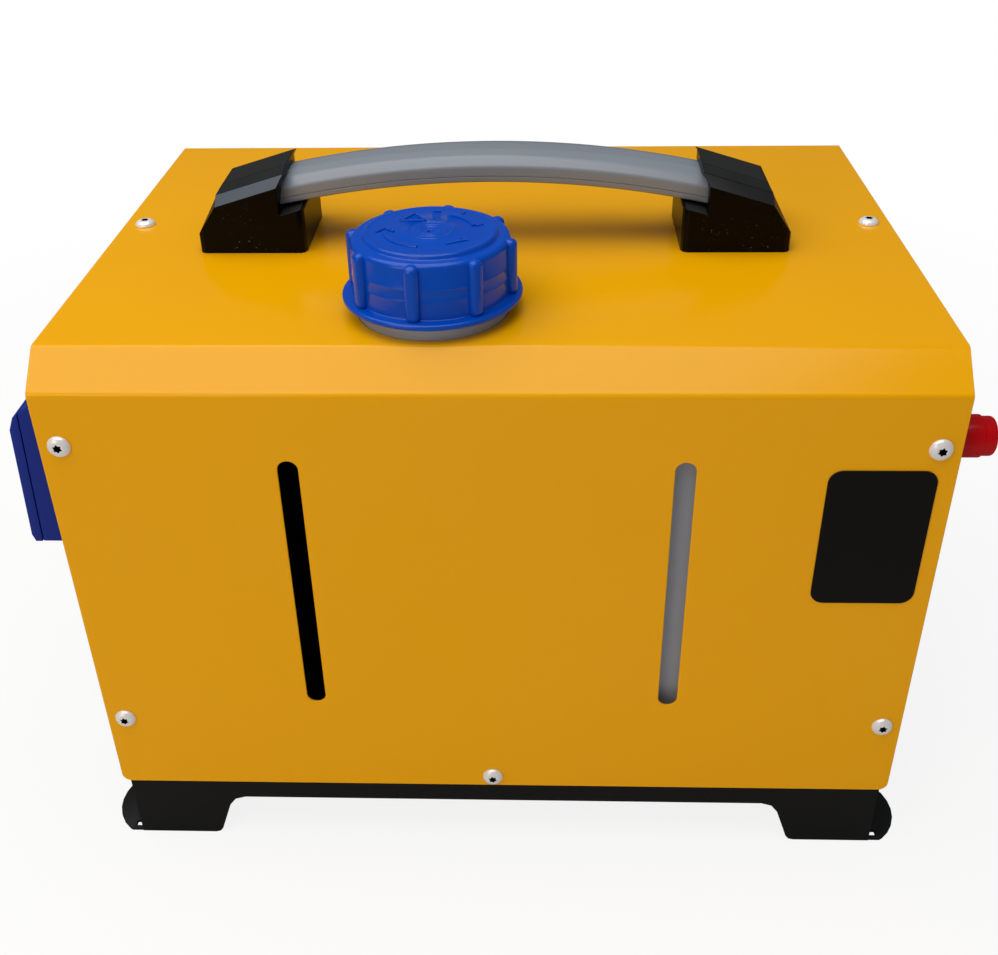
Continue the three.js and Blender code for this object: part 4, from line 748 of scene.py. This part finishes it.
    def carve(self, *tools: "Form") -> "Form":
        """Cuts other forms out of this one.

        Args:
            tools: the forms, which are used up.

        Returns:
            The form.
        """
        for tool in tools:
            body, cutter = self._scratch("body"), tool._scratch("tool")
            cut = body.modifiers.new("cut", "BOOLEAN")
            cut.operation = "DIFFERENCE"
            cut.solver = "EXACT"
            cut.object = cutter
            graph = bpy.context.evaluated_depsgraph_get()
            mesh = bpy.data.meshes.new_from_object(body.evaluated_get(graph))
            self.bm.free()
            self.bm = bmesh.new()
            self.bm.from_mesh(mesh)
            for scratch in (body, cutter):
                bpy.data.objects.remove(scratch)
            bpy.data.meshes.remove(mesh)
            tool.bm.free()
        return self

    def _scratch(self, name: str) -> bpy.types.Object:
        """Makes a throwaway object of this form.

        Args:
            name: the object's name.

        Returns:
            The object.
        """
        mesh = bpy.data.meshes.new(name)
        self.bm.to_mesh(mesh)
        made = bpy.data.objects.new(name, mesh)
        bpy.context.scene.collection.objects.link(made)
        return made

    def place(
        self,
        name: str,
        finish: Finish,
        node: str,
        body: Body = Body.CASE,
        smooth: float = 35.0,
        accents: Sequence[Finish] = (),
    ) -> bpy.types.Object:
        """Makes the form a piece of the object.

        Args:
            name: the piece's name.
            finish: its finish.
            node: the CAD node that it stands for.
            body: the body that it moves with.
            smooth: degrees between faces up to which shading runs on.
            accents: finishes of the faces that were marked 1, 2 and so on.

        Returns:
            The piece.
        """
        bmesh.ops.scale(self.bm, vec=(TO_METRES,) * 3, verts=self.bm.verts)
        mesh = bpy.data.meshes.new(name)
        self.bm.to_mesh(mesh)
        self.bm.free()
        for coating in (finish, *accents):
            mesh.materials.append(coating.material())
        mesh.shade_smooth()
        mesh.set_sharp_from_angle(angle=math.radians(smooth))
        for polygon in mesh.polygons:
            if polygon.area > FLAT_AREA:
                polygon.use_smooth = False
        piece = bpy.data.objects.new(name, mesh)
        bpy.context.scene.collection.objects.link(piece)
        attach(piece, body.value)
        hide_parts(node)
        LOG.info("%s: %d faces", name, len(mesh.polygons))
        return piece


def reaches(axis: int, least: float) -> EdgeTest:
    """Makes a test for edges that run along an axis.

    Args:
        axis: 0, 1 or 2.
        least: how far along it they have to reach.

    Returns:
        The test.
    """
    return lambda edge: abs(edge.verts[0].co[axis] - edge.verts[1].co[axis]) > least


def along_x(y: float, z: float) -> Matrix:
    """Lays a form's Z axis along X through (y, z)."""
    return Matrix.Translation((0, y, z)) @ Matrix.Rotation(QUARTER, 4, "Y")


# ---------------------------------------------------------------- case


@dataclass
class Screw:
    """Pan-head screw with a six-lobed recess."""

    head: float = 4.9
    crown: float = 2.7
    shank: float = 2.4
    reach: float = 6.0
    star: float = 2.15
    star_waist: float = 0.66
    star_floor: float = 0.8
    star_corner: float = 0.26
    lift: float = 0.05

    def build(self, node: str, spot: Corner, turn: Matrix) -> None:
        """Builds one screw on its seat.

        Args:
            node: the CAD node that it stands for.
            spot: where its seat is.
            turn: turns its Z axis away from the sheet.
        """
        r, top = self.head, self.crown
        shank = [(0.0, -self.reach), (self.shank, -self.reach, 0.3), (self.shank, 0.0)]
        rim = [(r - 0.7, 0.0), (r, 0.0, 0.15), (r, 0.55, 0.3)]
        dome = [(r - 0.55, 1.55, 0.8), (3.0, 2.4, 1.2), (0.0, top)]
        form = Form.line(shank + rim + dome, closed=False, steps=3).spin(48)
        form.carve(self._star())
        # The faces inside the recess take the painted shade.
        form.mark(1, self._in_recess)
        form.at(0, 0, self.lift).move(Matrix.Translation(spot) @ turn)
        form.place(f"{node}_head", ZINC, node, accents=[RECESS_SHADE])

    def _star(self) -> Form:
        """Makes the cutter of the recess.

        Returns:
            The cutter.
        """
        corners = []
        for k in range(12):
            radius = self.star if k % 2 else self.star * self.star_waist
            angle = k * math.pi / 6
            corners.append((radius * math.cos(angle), radius * math.sin(angle), self.star_corner))
        star = Form.line(corners, steps=3).extrude((0, 4.0, 0))
        return star.turned(QUARTER, "X").at(0, 0, self.star_floor)

    def _in_recess(self, face: bmesh.types.BMFace) -> bool:
        """Tells whether a face lies inside the recess.

        Args:
            face: a face of the head.

        Returns:
            Whether it does.
        """
        middle = face.calc_center_median()
        inside = math.hypot(middle.x, middle.y) < self.star
        return inside and self.star_floor - 0.1 < middle.z < self.crown - 0.25


@dataclass
class Case:
    """Yellow folded cover with its label plate and screws."""

    length: float = 380.0
    depth: float = 288.0
    top: float = 274.0
    bottom: float = 38.5
    sheet: float = 1.2
    edge: float = 0.4
    fold_depth: float = 15.9
    fold_drop: float = 14.4
    fold_radius: float = 2.5
    corner_radius: float = 4.5
    slots: Corner = (-86.9, 78.9)
    slot_width: float = 8.8
    slot_low: float = 93.5
    slot_high: float = 228.2
    filler: Corner = (-27.5, -91.0)
    filler_radius: float = 32.8
    label_low: Corner = (137.5, 156.0)
    label_high: Corner = (182.5, 225.0)
    label_corner: float = 6.0
    label_thickness: float = 0.5
    screws: tuple[Corner, ...] = ((-181, 235.4), (181, 235.4), (-181, 81.7), (181, 81.7), (-4, 44.9))
    screw_names: tuple[str, ...] = (
        "upper_left",
        "upper_right",
        "lower_left",
        "lower_right",
        "lower_middle",
    )
    top_screws: tuple[Corner, ...] = ((-179.5, 6.0), (179.5, 6.0))

    def build(self) -> None:
        """Builds the cover, the label and the screws."""
        self.cover()
        self.label()
        self.fasteners()

    def cover(self) -> None:
        """Folds one sheet over front, top and rear, and cuts its slots and its filler hole."""
        side, shoulder = self.depth / 2, self.top - self.fold_drop
        r = self.fold_radius
        path = [
            (-side, self.bottom),
            (-side, shoulder, r),
            (self.fold_depth - side, self.top, r),
            (side - self.fold_depth, self.top, r),
            (side, shoulder, r),
            (side, self.bottom),
        ]
        form = Form.line(path, closed=False, steps=6).turned(QUARTER)
        form.at(-self.length / 2, 0, 0).drag((self.length, 0, 0))
        self._face_inwards(form)
        bmesh.ops.solidify(form.bm, geom=form.bm.faces[:], thickness=-self.sheet)
        form.faced()
        form.soften(self.corner_radius, 6, where=self._is_lower_corner)
        form.carve(*[self._slot(x) for x in self.slots])
        form.carve(Form.rod(self.filler_radius, self.top - 5, self.top + 5, 64).at(*self.filler, 0))
        form.soften(self.edge, 3)
        form.place("folded_cover", YELLOW_PAINT, "cover")

    def _face_inwards(self, form: Form) -> None:
        """Turns the open sheet so that its wall grows inwards.

        Args:
            form: the sheet.
        """
        roof = max(form.bm.faces, key=lambda face: face.calc_center_median().z)
        if roof.normal.z > 0:
            bmesh.ops.reverse_faces(form.bm, faces=form.bm.faces[:])

    def _is_lower_corner(self, edge: bmesh.types.BMEdge) -> bool:
        """Tells the short edges at the cover's lower corners.

        Args:
            edge: an edge of the cover.

        Returns:
            Whether it is one.
        """
        middle = (edge.verts[0].co + edge.verts[1].co) / 2
        at_corner = middle.z < self.bottom + 0.5 and abs(middle.x) > self.length / 2 - 0.5
        return at_corner and reaches(1, 0.5)(edge)

    def _slot(self, x: float) -> Form:
        """Makes the cutter of one sight slot, through the front face only.

        Args:
            x: the slot's middle.

        Returns:
            The cutter.
        """
        half, front, reach = self.slot_width / 2, -self.depth / 2, 6
        low = (x - half, front - reach, self.slot_low)
        high = (x + half, front + reach, self.slot_high)
        return Form.box(low, high).soften(half - 0.02, 10, where=reaches(1, reach))

    def label(self) -> None:
        """Makes the bare black plate."""
        front = -self.depth / 2
        (left, low), (right, high) = self.label_low, self.label_high
        plate = Form.box((left, front - self.label_thickness, low), (right, front, high))
        plate.soften(self.label_corner, 8, where=reaches(1, 0.3))
        plate.soften(0.15)
        plate.place("bare_label", LABEL_BLACK, "label_plate", smooth=30)

    def fasteners(self) -> None:
        """Sets the screws of the front, the rear and the top."""
        screw = Screw()
        for face, side in (("front", -1), ("rear", 1)):
            for name, (x, z) in zip(self.screw_names, self.screws):
                turn = Matrix.Rotation(-side * QUARTER, 4, "X") @ Matrix.Rotation(x, 4, "Z")
                screw.build(f"{face}_screw_{name}", (x, side * self.depth / 2, z), turn)
        for name, (x, y) in zip(("left", "right"), self.top_screws):
            screw.build(f"top_screw_{name}", (x, y, self.top), Matrix.Rotation(x, 4, "Z"))


# ---------------------------------------------------------------- base and ends


@dataclass
class Base:
    """Folded tray with its legs, and the two end panels."""

    tray_edge: float = 0.3
    panel_edge: float = 0.21

    def build(self) -> None:
        """Softens the sheet-metal edges."""
        tray = Form.from_node("base_tray").soften(self.tray_edge, angle=50)
        tray.place("folded_tray", BLACK_POWDER, "base_tray", smooth=46)
        for side in ("left", "right"):
            panel = Form.from_node(f"{side}_end_panel").soften(self.panel_edge, angle=50)
            panel.place(f"{side}_panel_sheet", BLACK_POWDER, f"{side}_end_panel", smooth=46)


# ---------------------------------------------------------------- handle


@dataclass(frozen=True)
class Ridge:
    """Corners of a foot's ridge and how far they shift, outwards and upwards from the grip's middle."""

    inner: float
    outer: float
    above: float
    outwards: float
    upwards: float


@dataclass
class Handle:
    """Crowned grip arched between two hooded feet."""

    middle: float = -4.0
    y: float = -6.0
    arc_radius: float = 476.0
    apex: float = 304.8
    half_width: float = 16.0
    side: float = 7.6
    crown: float = 5.0
    half_span: float = 111.0
    foot_depth: float = 50.8
    node_depth: float = 44.0
    foot_edge: float = 0.7
    ridges: tuple[Ridge, ...] = (Ridge(91, 104, 305.5, -2.8, 0.6), Ridge(120, 130, 297.5, 4.0, -1.4))
    seams: tuple[tuple[Corner, Corner], ...] = (
        ((99.5, 291.6), (126.0, 283.0)),
        ((129.0, 295.0), (128.0, 283.5)),
    )
    seam_height: float = 0.32
    # Smallest face, in square millimetres, that takes one of the painted light colours.
    painted_facet_area: float = 60.0

    def build(self) -> None:
        """Builds the feet and the grip."""
        # The left foot's sloping facets are painted lit and the right foot's take the darker sheen colour:
        # painted light from the front left.
        for name, side, slope in (("left", -1, PAINTED_LIT_SLOPE), ("right", 1, SHEEN_AND_DUST_TOP)):
            node = f"handle_foot_{name}"
            foot = self.foot(node, side)
            foot.mark(1, self._lies_flat).mark(2, self._slopes_forward)
            foot.place(f"{name}_hooded_foot", GLOSS_BLACK, node, smooth=30, accents=[SHEEN_AND_DUST_TOP, slope])
        self.grip()

    def foot(self, node: str, side: int) -> Form:
        """Moulds a foot, with its ridge leaning in over the grip and seams on its front face.

        Args:
            node: the CAD node that it starts from.
            side: -1 on the left, 1 on the right.

        Returns:
            The form.
        """
        foot = Form.from_node(node)
        widen = Matrix.Diagonal((1, self.foot_depth / self.node_depth, 1, 1))
        foot.at(0, -self.y, 0).move(widen).at(0, self.y, 0)
        for ridge in self.ridges:
            verts = [v for v in foot.bm.verts if self._on_ridge(v, ridge)]
            bmesh.ops.translate(foot.bm, vec=(side * ridge.outwards, 0, ridge.upwards), verts=verts)
        foot.soften(self.foot_edge, 3, 11)
        foot.add(*[self._seam(side, *ends) for ends in self.seams])
        return foot

    def _on_ridge(self, vert: bmesh.types.BMVert, ridge: Ridge) -> bool:
        """Tells whether a corner of the foot belongs to a ridge."""
        return vert.co.z > ridge.above and ridge.inner < abs(vert.co.x - self.middle) < ridge.outer

    def _seam(self, side: int, start: Corner, end: Corner) -> Form:
        """Makes a fine raised seam on a foot's front face.

        Args:
            side: -1 on the left, 1 on the right.
            start: its distance from the grip's middle, and its height.
            end: the same for its other end.

        Returns:
            The form.
        """
        x1, x2 = self.middle + side * start[0], self.middle + side * end[0]
        z1, z2 = start[1], end[1]
        half, rise = math.hypot(x2 - x1, z2 - z1) / 2, self.seam_height / 2
        seam = Form.box((-half, -0.1, -rise), (half, 0.4, rise)).soften(0.06)
        seam.turned(-math.atan2(z2 - z1, x2 - x1), "Y")
        return seam.at((x1 + x2) / 2, self.y - self.foot_depth / 2, (z1 + z2) / 2)

    def _lies_flat(self, face: bmesh.types.BMFace) -> bool:
        """Tells the broad upward faces, which are painted lighter: painted sheen with some dust."""
        return face.normal.z > 0.75 and face.calc_area() > self.painted_facet_area

    def _slopes_forward(self, face: bmesh.types.BMFace) -> bool:
        """Tells the broad facets that lean back from the front face, which take painted light."""
        leans = face.normal.y < -0.3 and face.normal.z > 0.3
        return leans and face.calc_area() > self.painted_facet_area

    def grip(self) -> None:
        """Sweeps the grip's section along its arc."""
        w, s, c = self.half_width, self.side, self.crown
        side = [(w, 0.0, 1.0), (w, 2.6), (w - 0.4, 2.9), (w, 3.2), (w, s, 2.2)]
        top = [(w * 0.72, s + c * 0.70, 6.0), (w * 0.3, s + c * 0.97, 8.0)]
        right = side + top
        left = [(-x, *rest) for x, *rest in reversed(right)]
        turn = math.asin(self.half_span / self.arc_radius)
        form = Form.line(right + left, steps=4).turned(QUARTER)
        form.at(0, 0, self.arc_radius).turned(-turn, "Y").sweep(2 * turn, 56)
        form.at(self.middle, self.y, self.apex - self.arc_radius)
        form.place("grip_sleeve", GREY_SLEEVE, "handle_grip", smooth=28)


# ---------------------------------------------------------------- fuel


@dataclass
class Tank:
    """Moulded fuel tank with a round filler neck."""

    neck: Corner = (-27.5, -91.0, 274.0)
    neck_bore: float = 24.0
    neck_outside: float = 28.0
    neck_top: float = 28.0
    collar: float = 32.5
    collar_top: float = 6.3
    root: float = -16.0
    low: Corner = (-64.0, -137.0, 28.0)
    high: Corner = (168.0, -45.0, 262.0)
    upright_radius: float = 14.0
    edge_radius: float = 7.0

    def build(self) -> None:
        """Builds the tank and its neck."""
        tank = Form.box(self.low, self.high)
        tank.soften(self.upright_radius, 8, where=reaches(2, 50))
        tank.soften(self.edge_radius, 5)
        profile = [
            (self.neck_bore, self.root),
            (self.collar, self.root),
            (self.collar, self.collar_top, 0.6),
            (self.neck_outside, self.collar_top),
            (self.neck_outside, self.neck_top, 0.6),
            (self.neck_bore, self.neck_top, 0.6),
        ]
        tank.add(Form.line(profile, steps=3).spin(96).at(*self.neck))
        tank.place("moulded_tank", NATURAL_PLASTIC, "fuel_tank", smooth=30)


@dataclass
class Cap:
    """Screw cap with a flange, ribs, a raised disc and embossed marks."""

    seat: Corner = (-27.5, -91.0, 274.0)
    low: float = 6.6
    flange: float = 38.5
    flange_thickness: float = 2.6
    skirt: float = 33.6
    skirt_top: float = 33.2
    bore: float = 28.4
    bore_top: float = 31.4
    disc: float = 27.6
    disc_top: float = 35.2
    face: float = 34.7
    lines: Corner = (17.0, 22.0)
    rings: Corner = (9.4, 6.6, 4.6)
    ribs: int = 8
    rib_phase: float = -99.0
    rib_root: float = 29.5
    rib_reach: float = 36.6
    rib_half: float = 3.1
    rib_radius: float = 2.6
    rib_top: float = 32.9
    mark_low: float = 34.2
    mark_high: float = 35.3
    stroke_half: float = 0.55
    arcs: tuple[Corner, ...] = ((186.0, 72.0), (14.0, 56.0))
    arc_band: Corner = (17.6, 19.9)
    arrow: Corner = (18.75, 183.0)
    triangle: Corner = (-8.0, 14.6)
    triangle_size: Corner = (10.5, 8.4)
    bars: tuple[Corner, ...] = (
        (11.5, -13.2, 9.0, 26.0, 1.5),
        (14.8, -10.2, 4.2, -42.0, 0.9),
        (9.8, 17.4, 4.6, -28.0, 1.4),
        (20.4, 5.2, 3.4, 30.0, 0.8),
        (12.8, 19.0, 2.2, 60.0, 1.2),
        (1.2, 21.0, 4.0, 0.0, 0.5),
    )

    def build(self) -> None:
        """Builds the cap."""
        inside = [(self.bore, self.low), (self.bore, self.bore_top), (0.0, self.bore_top)]
        cap = Form.shell(self._outline(), inside, 120, 4)
        for k in range(self.ribs):
            inner = (self.rib_root, -self.rib_half, self.low + 2.0)
            outer = (self.rib_reach, self.rib_half, self.rib_top)
            rib = Form.box(inner, outer).soften(self.rib_radius, 7)
            cap.add(rib.turned(math.radians(self.rib_phase + 360 / self.ribs * k)))
        cap.add(*self._arcs(), *self._arrowhead(), *self._triangle(), *self._bars())
        cap.at(*self.seat)
        cap.place("ribbed_cap", BLUE_PLASTIC, "fuel_cap", Body.CAP, 40)

    def _outline(self) -> list[Corner]:
        """Draws the cap's outside, from its bore's rim to the middle of its face.

        Returns:
            The corners.
        """
        low, top, skirt = self.low, self.low + self.flange_thickness, self.skirt
        line = [(self.bore, low), (self.flange, low, 0.9), (self.flange, top, 1.2)]
        line += [(skirt + 0.1, top + 0.1, 0.6)]
        for z in self.lines:
            line += [(skirt, z), (skirt + 0.14, z + 0.3, 0.15), (skirt, z + 0.6)]
        line += [(skirt, self.skirt_top, 2.4), (self.disc + 1.0, self.skirt_top - 0.2, 0.7)]
        line += [(self.disc, self.disc_top, 1.3), (self.disc - 2.0, self.face, 0.7)]
        for radius in self.rings:
            line += [(radius + 0.45, 34.6), (radius, 34.85, 0.2), (radius - 0.45, 34.6)]
        dish = [(3.4, 34.5, 0.3), (2.4, 34.2, 0.3), (1.3, 34.2, 0.15), (1.1, 33.5), (0.0, 33.5)]
        return line + dish

    def _arcs(self) -> list[Form]:
        """Embosses the two curved bands.

        Returns:
            The forms.
        """
        inner, outer = self.arc_band
        high = self.mark_high
        bands = []
        for start, sweep in self.arcs:
            band = Form.line(
                [(inner, self.mark_low), (outer, self.mark_low), (outer, high, 0.3), (inner, high, 0.3)],
                steps=2,
            )
            bands.append(band.turned(math.radians(start)).spin(28, sweep))
        return bands

    def _arrowhead(self) -> list[Form]:
        """Embosses the open arrowhead at the left band's end.

        Returns:
            The forms.
        """
        (radius, angle), wide = self.arrow, self.stroke_half
        strokes = []
        for side in (-1, 1):
            stroke = Form.box((-0.4, -wide, self.mark_low), (5.2, wide, self.mark_high)).soften(0.22)
            stroke.turned(QUARTER + side * 0.8).at(radius, -2.4, 0)
            strokes.append(stroke.turned(math.radians(angle)))
        return strokes

    def _triangle(self) -> list[Form]:
        """Embosses the triangle's three strokes.

        Returns:
            The forms.
        """
        (x, y), (width, height) = self.triangle, self.triangle_size
        tips = [
            Vector((x - width / 2, y - height / 2)),
            Vector((x + width / 2, y - height / 2)),
            Vector((x, y + height / 2)),
        ]
        strokes = []
        for first, second in zip(tips, tips[1:] + tips[:1]):
            along, middle = second - first, (first + second) / 2
            half, wide = along.length / 2 + 0.4, self.stroke_half
            stroke = Form.box((-half, -wide, self.mark_low), (half, wide, self.mark_high - 0.1)).soften(0.2)
            strokes.append(stroke.turned(math.atan2(along.y, along.x)).at(middle.x, middle.y, 0))
        return strokes

    def _bars(self) -> list[Form]:
        """Embosses the short plain bars.

        Returns:
            The forms.
        """
        bars = []
        for x, y, length, turn, width in self.bars:
            low = (-length / 2, -width / 2, self.mark_low)
            high = (length / 2, width / 2, self.mark_high - 0.1)
            bars.append(Form.box(low, high).soften(0.22).turned(math.radians(turn)).at(x, y, 0))
        return bars


# ---------------------------------------------------------------- ends


@dataclass
class Controls:
    """Navy control housing with its bezel and its screen."""

    housing_edge: float = 0.6
    bezel_edge: float = 0.2
    screen_edge: float = 0.3

    def build(self) -> None:
        """Softens the housing, the bezel and the screen."""
        housing = Form.from_node("control_housing").soften(self.housing_edge, 3, 8)
        housing.place("wedge_housing", NAVY_PLASTIC, "control_housing", smooth=30)
        bezel = Form.from_node("control_bezel").soften(self.bezel_edge, angle=50)
        bezel.place("face_bezel", NAVY_PLASTIC, "control_bezel", smooth=32)
        screen = Form.from_node("control_screen").soften(self.screen_edge, angle=50)
        screen.place("display_window", DARK_GLASS, "control_screen", smooth=32)


@dataclass
class Terminal:
    """Bush and knob of one cable terminal. Its washer and post keep their CAD shape."""

    name: str
    y: float
    finish: Finish
    knob_body: Body
    z: float = 229.9
    base: float = 185.5
    bore: float = 3.3
    radius: float = 9.2
    bush_top: float = 4.7
    knob_low: float = 6.5
    grip_top: float = 17.4
    nose_radius: float = 8.5
    knob_top: float = 23.3
    bore_top: float = 20.1

    def build(self) -> None:
        """Builds the bush and the knob."""
        place = along_x(self.y, self.z) @ Matrix.Translation((0, 0, self.base))
        b, r, t = self.bore, self.radius, self.bush_top
        profile = [(b, -1.5), (6.6, -1.5), (6.6, 0), (r, 0, 0.3), (r, t, 0.7), (b, t, 0.2)]
        bush = Form.line(profile, steps=3).spin(64).move(place)
        bush.place(f"{self.name}_collar", self.finish, f"{self.name}_bush")
        outside = [
            (b, self.knob_low),
            (r, self.knob_low, 0.5),
            (r, self.grip_top, 0.5),
            (self.nose_radius, self.grip_top + 0.3, 0.3),
            (self.nose_radius, self.knob_top - 0.2, 1.6),
            (0.0, self.knob_top),
        ]
        inside = [(b, self.knob_low), (b, self.bore_top), (0.0, self.bore_top)]
        knob = Form.shell(outside, inside, 64, 4).move(place)
        knob.place(f"{self.name}_grip", self.finish, f"{self.name}_knob", self.knob_body)


@dataclass
class Ducts:
    """Warm-air collar on the right end and intake grille on the left end."""

    y: float = 50.0
    z: float = 112.0
    face: float = 185.5
    reach: float = 213.97
    root: float = 160.3
    bore: float = 37.5
    pipe: float = 39.5
    flange: float = 54.0
    grille_bore: float = 43.0
    grille_pipe: float = 45.0
    grille_depth: float = 25.2
    grille_flange: float = 4.0
    ring_half: float = 1.2
    ring_thickness: float = 3.0
    spokes: int = 6
    spoke_phase: float = 10.0

    def build(self) -> None:
        """Builds the collar and the grille."""
        self.collar()
        self.grille()

    def collar(self) -> None:
        """Turns the collar, with its flange and the bead that holds a hose."""
        p, f, r = self.pipe, self.face, self.reach
        profile = [
            (self.bore, self.root),
            (p, self.root),
            (p, f),
            (self.flange, f, 0.4),
            (self.flange, f + 3, 0.8),
            (p, f + 3, 0.8),
            (p, r - 5),
            (p + 1.2, r - 3.5, 0.6),
            (p, r - 2),
            (p, r, 0.4),
            (self.bore, r, 0.4),
        ]
        collar = Form.line(profile, steps=3).spin(96).move(along_x(self.y, self.z))
        collar.place("duct_spigot", DARK_PLASTIC, "outlet_collar")

    def grille(self) -> None:
        """Turns the grille's frame and rings, and lays its spokes across."""
        b, p, t, half = self.grille_bore, self.grille_pipe, self.ring_thickness, self.ring_half
        frame = [(b, -self.grille_depth), (p, -self.grille_depth), (p, 0), (self.flange, 0, 0.4)]
        frame += [(self.flange, self.grille_flange, 1.2), (b, self.grille_flange, 0.8)]
        grille = Form.line(frame, steps=3).spin(96)
        for radius in (b / 3, b / 3 * 2):
            low, high = radius - half, radius + half
            grille.add(Form.line([(low, 0), (high, 0), (high, t, 0.4), (low, t, 0.4)], steps=2).spin(72))
        grille.add(Form.rod(b / 6, 0, t).soften(0.4))
        for k in range(self.spokes):
            spoke = Form.box((2, -half, 0.1), (b + 1, half, t - 0.1)).soften(0.3)
            grille.add(spoke.turned(math.radians(360 / self.spokes * k + self.spoke_phase)))
        grille.turned(-QUARTER, "Y").at(-self.face, self.y, self.z)
        grille.place("intake_rings", DARK_PLASTIC, "intake_grille")


def dress_nodes(frame: dict) -> None:
    """Gives every CAD node the finish of its slot.

    Args:
        frame: the loaded frame.
    """
    finishes = {finish.slot.value: finish for finish in NODE_FINISHES}
    slots = {part["node"]: part["material_slot"] for part in frame["record"]["subparts"]}
    for name, node in frame["nodes"].items():
        node.data.materials.clear()
        node.data.materials.append(finishes[slots[name]].material())


# ---------------------------------------------------------------- studio


@dataclass(frozen=True)
class Lamp:
    """Soft square lamp, in metres and watts."""

    name: str
    place: Corner
    target: Corner
    size: float
    power: float
    tint: Corner

    def build(self) -> None:
        """Hangs the lamp and points it at its target."""
        data = bpy.data.lights.new(self.name, "AREA")
        data.shape = "SQUARE"
        data.size = self.size
        data.energy = self.power
        data.color = self.tint
        lamp = bpy.data.objects.new(self.name, data)
        lamp.location = self.place
        aim = Vector(self.target) - Vector(self.place)
        lamp.rotation_euler = aim.to_track_quat("-Z", "Y").to_euler()
        bpy.context.scene.collection.objects.link(lamp)


@dataclass
class Studio:
    """Camera, floor and light, in metres and degrees."""

    camera_place: Corner = (0.01804, -0.5695, 0.4956)
    yaw: float = -2.23
    pitch: float = 32.83
    roll: float = -0.96
    lens: float = 43.88
    fill: float = 0.24
    mirror_fill: float = 0.09
    floor_size: float = 12.0
    floor_near: float = 0.3
    floor_far: float = 0.9
    floor_white: float = 0.86
    lamps: tuple[Lamp, ...] = (
        Lamp("top_light", (-0.34, -0.2, 1.5), (0.0, 0.0, 0.2), 1.7, 20.0, (1.0, 0.99, 0.97)),
        Lamp("front_light", (-1.1, -1.5, 0.75), (0.0, 0.0, 0.15), 0.9, 5.2, (1.0, 0.76, 0.5)),
    )

    def build(self) -> None:
        """Sets up the camera, the floor, the surroundings and the lamps."""
        self.camera()
        self.floor()
        self.world()
        for lamp in self.lamps:
            lamp.build()
        bpy.context.scene.view_settings.view_transform = "Standard"

    def camera(self) -> None:
        """Stands the camera where the photograph was taken from."""
        yaw, pitch, roll = (math.radians(a) for a in (self.yaw, self.pitch, self.roll))
        level_part = math.cos(pitch)
        ahead = Vector((math.sin(yaw) * level_part, math.cos(yaw) * level_part, -math.sin(pitch)))
        level = ahead.cross(Vector((0, 0, 1))).normalized()
        up = level.cross(ahead)
        right = level * math.cos(roll) + up * math.sin(roll)
        upright = up * math.cos(roll) - level * math.sin(roll)
        data = bpy.data.cameras.new("camera")
        data.lens = self.lens
        data.sensor_width = 36.0
        data.sensor_fit = "HORIZONTAL"
        data.clip_start = 0.01
        camera = bpy.data.objects.new("camera", data)
        turn = Matrix((right, upright, -ahead)).transposed().to_4x4()
        camera.matrix_world = Matrix.Translation(self.camera_place) @ turn
        bpy.context.scene.collection.objects.link(camera)
        bpy.context.scene.camera = camera

    def floor(self) -> None:
        """Lays a pale floor that keeps the object's soft shadow."""
        bm = bmesh.new()
        bmesh.ops.create_grid(bm, x_segments=1, y_segments=1, size=self.floor_size)
        mesh = bpy.data.meshes.new("floor")
        bm.to_mesh(mesh)
        bm.free()
        material = bpy.data.materials.new("floor_white")
        surface = Surface(material)
        matt = surface.node("ShaderNodeBsdfDiffuse", inputs={"Color": (0.92, 0.92, 0.92, 1)})
        dull = surface.node("ShaderNodeBsdfDiffuse", inputs={"Color": (0.2, 0.19, 0.18, 1)})
        bright = surface.node("ShaderNodeEmission", inputs={"Color": WHITE, "Strength": 1.0})
        distance = surface.node(
            "ShaderNodeVectorMath", {"operation": "LENGTH"}, {0: surface.place()}, "Value"
        )
        far = distance.ramp(self.floor_near, self.floor_far)
        whiteness = far * (1 - self.floor_white) + self.floor_white
        lit = surface.mix(surface.ray("Glossy"), matt, dull)
        shader = surface.mix(surface.ray("Camera") * whiteness, lit, bright)
        surface.node("ShaderNodeOutputMaterial", inputs={"Surface": shader})
        mesh.materials.append(material)
        floor = bpy.data.objects.new("floor", mesh)
        bpy.context.scene.collection.objects.link(floor)

    def world(self) -> None:
        """Makes white surroundings that are dimmer as light than as background."""
        world = bpy.data.worlds.new("studio")
        bpy.context.scene.world = world
        surface = Surface(world)
        lit = surface.mix(surface.ray("Glossy"), surface.glow(self.fill), surface.glow(self.mirror_fill))
        seen = surface.ray("Camera") | surface.ray("Transmission")
        shader = surface.mix(seen, lit, surface.glow(1.0))
        surface.node("ShaderNodeOutputWorld", inputs={"Surface": shader})


def main() -> None:
    """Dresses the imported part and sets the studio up."""
    logging.basicConfig(level=logging.INFO, format="%(name)s %(message)s")
    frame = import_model()
    dress_nodes(frame)
    assemblies = (
        Case(),
        Base(),
        Handle(),
        Tank(),
        Cap(),
        Controls(),
        Terminal("positive", -124.0, RED_PLASTIC, Body.POSITIVE_KNOB),
        Terminal("negative", -86.0, GLOSS_BLACK, Body.NEGATIVE_KNOB),
        Ducts(),
        Studio(),
    )
    for assembly in assemblies:
        assembly.build()
        LOG.info("%s built", type(assembly).__name__)


if __name__ == "__main__":
    main()
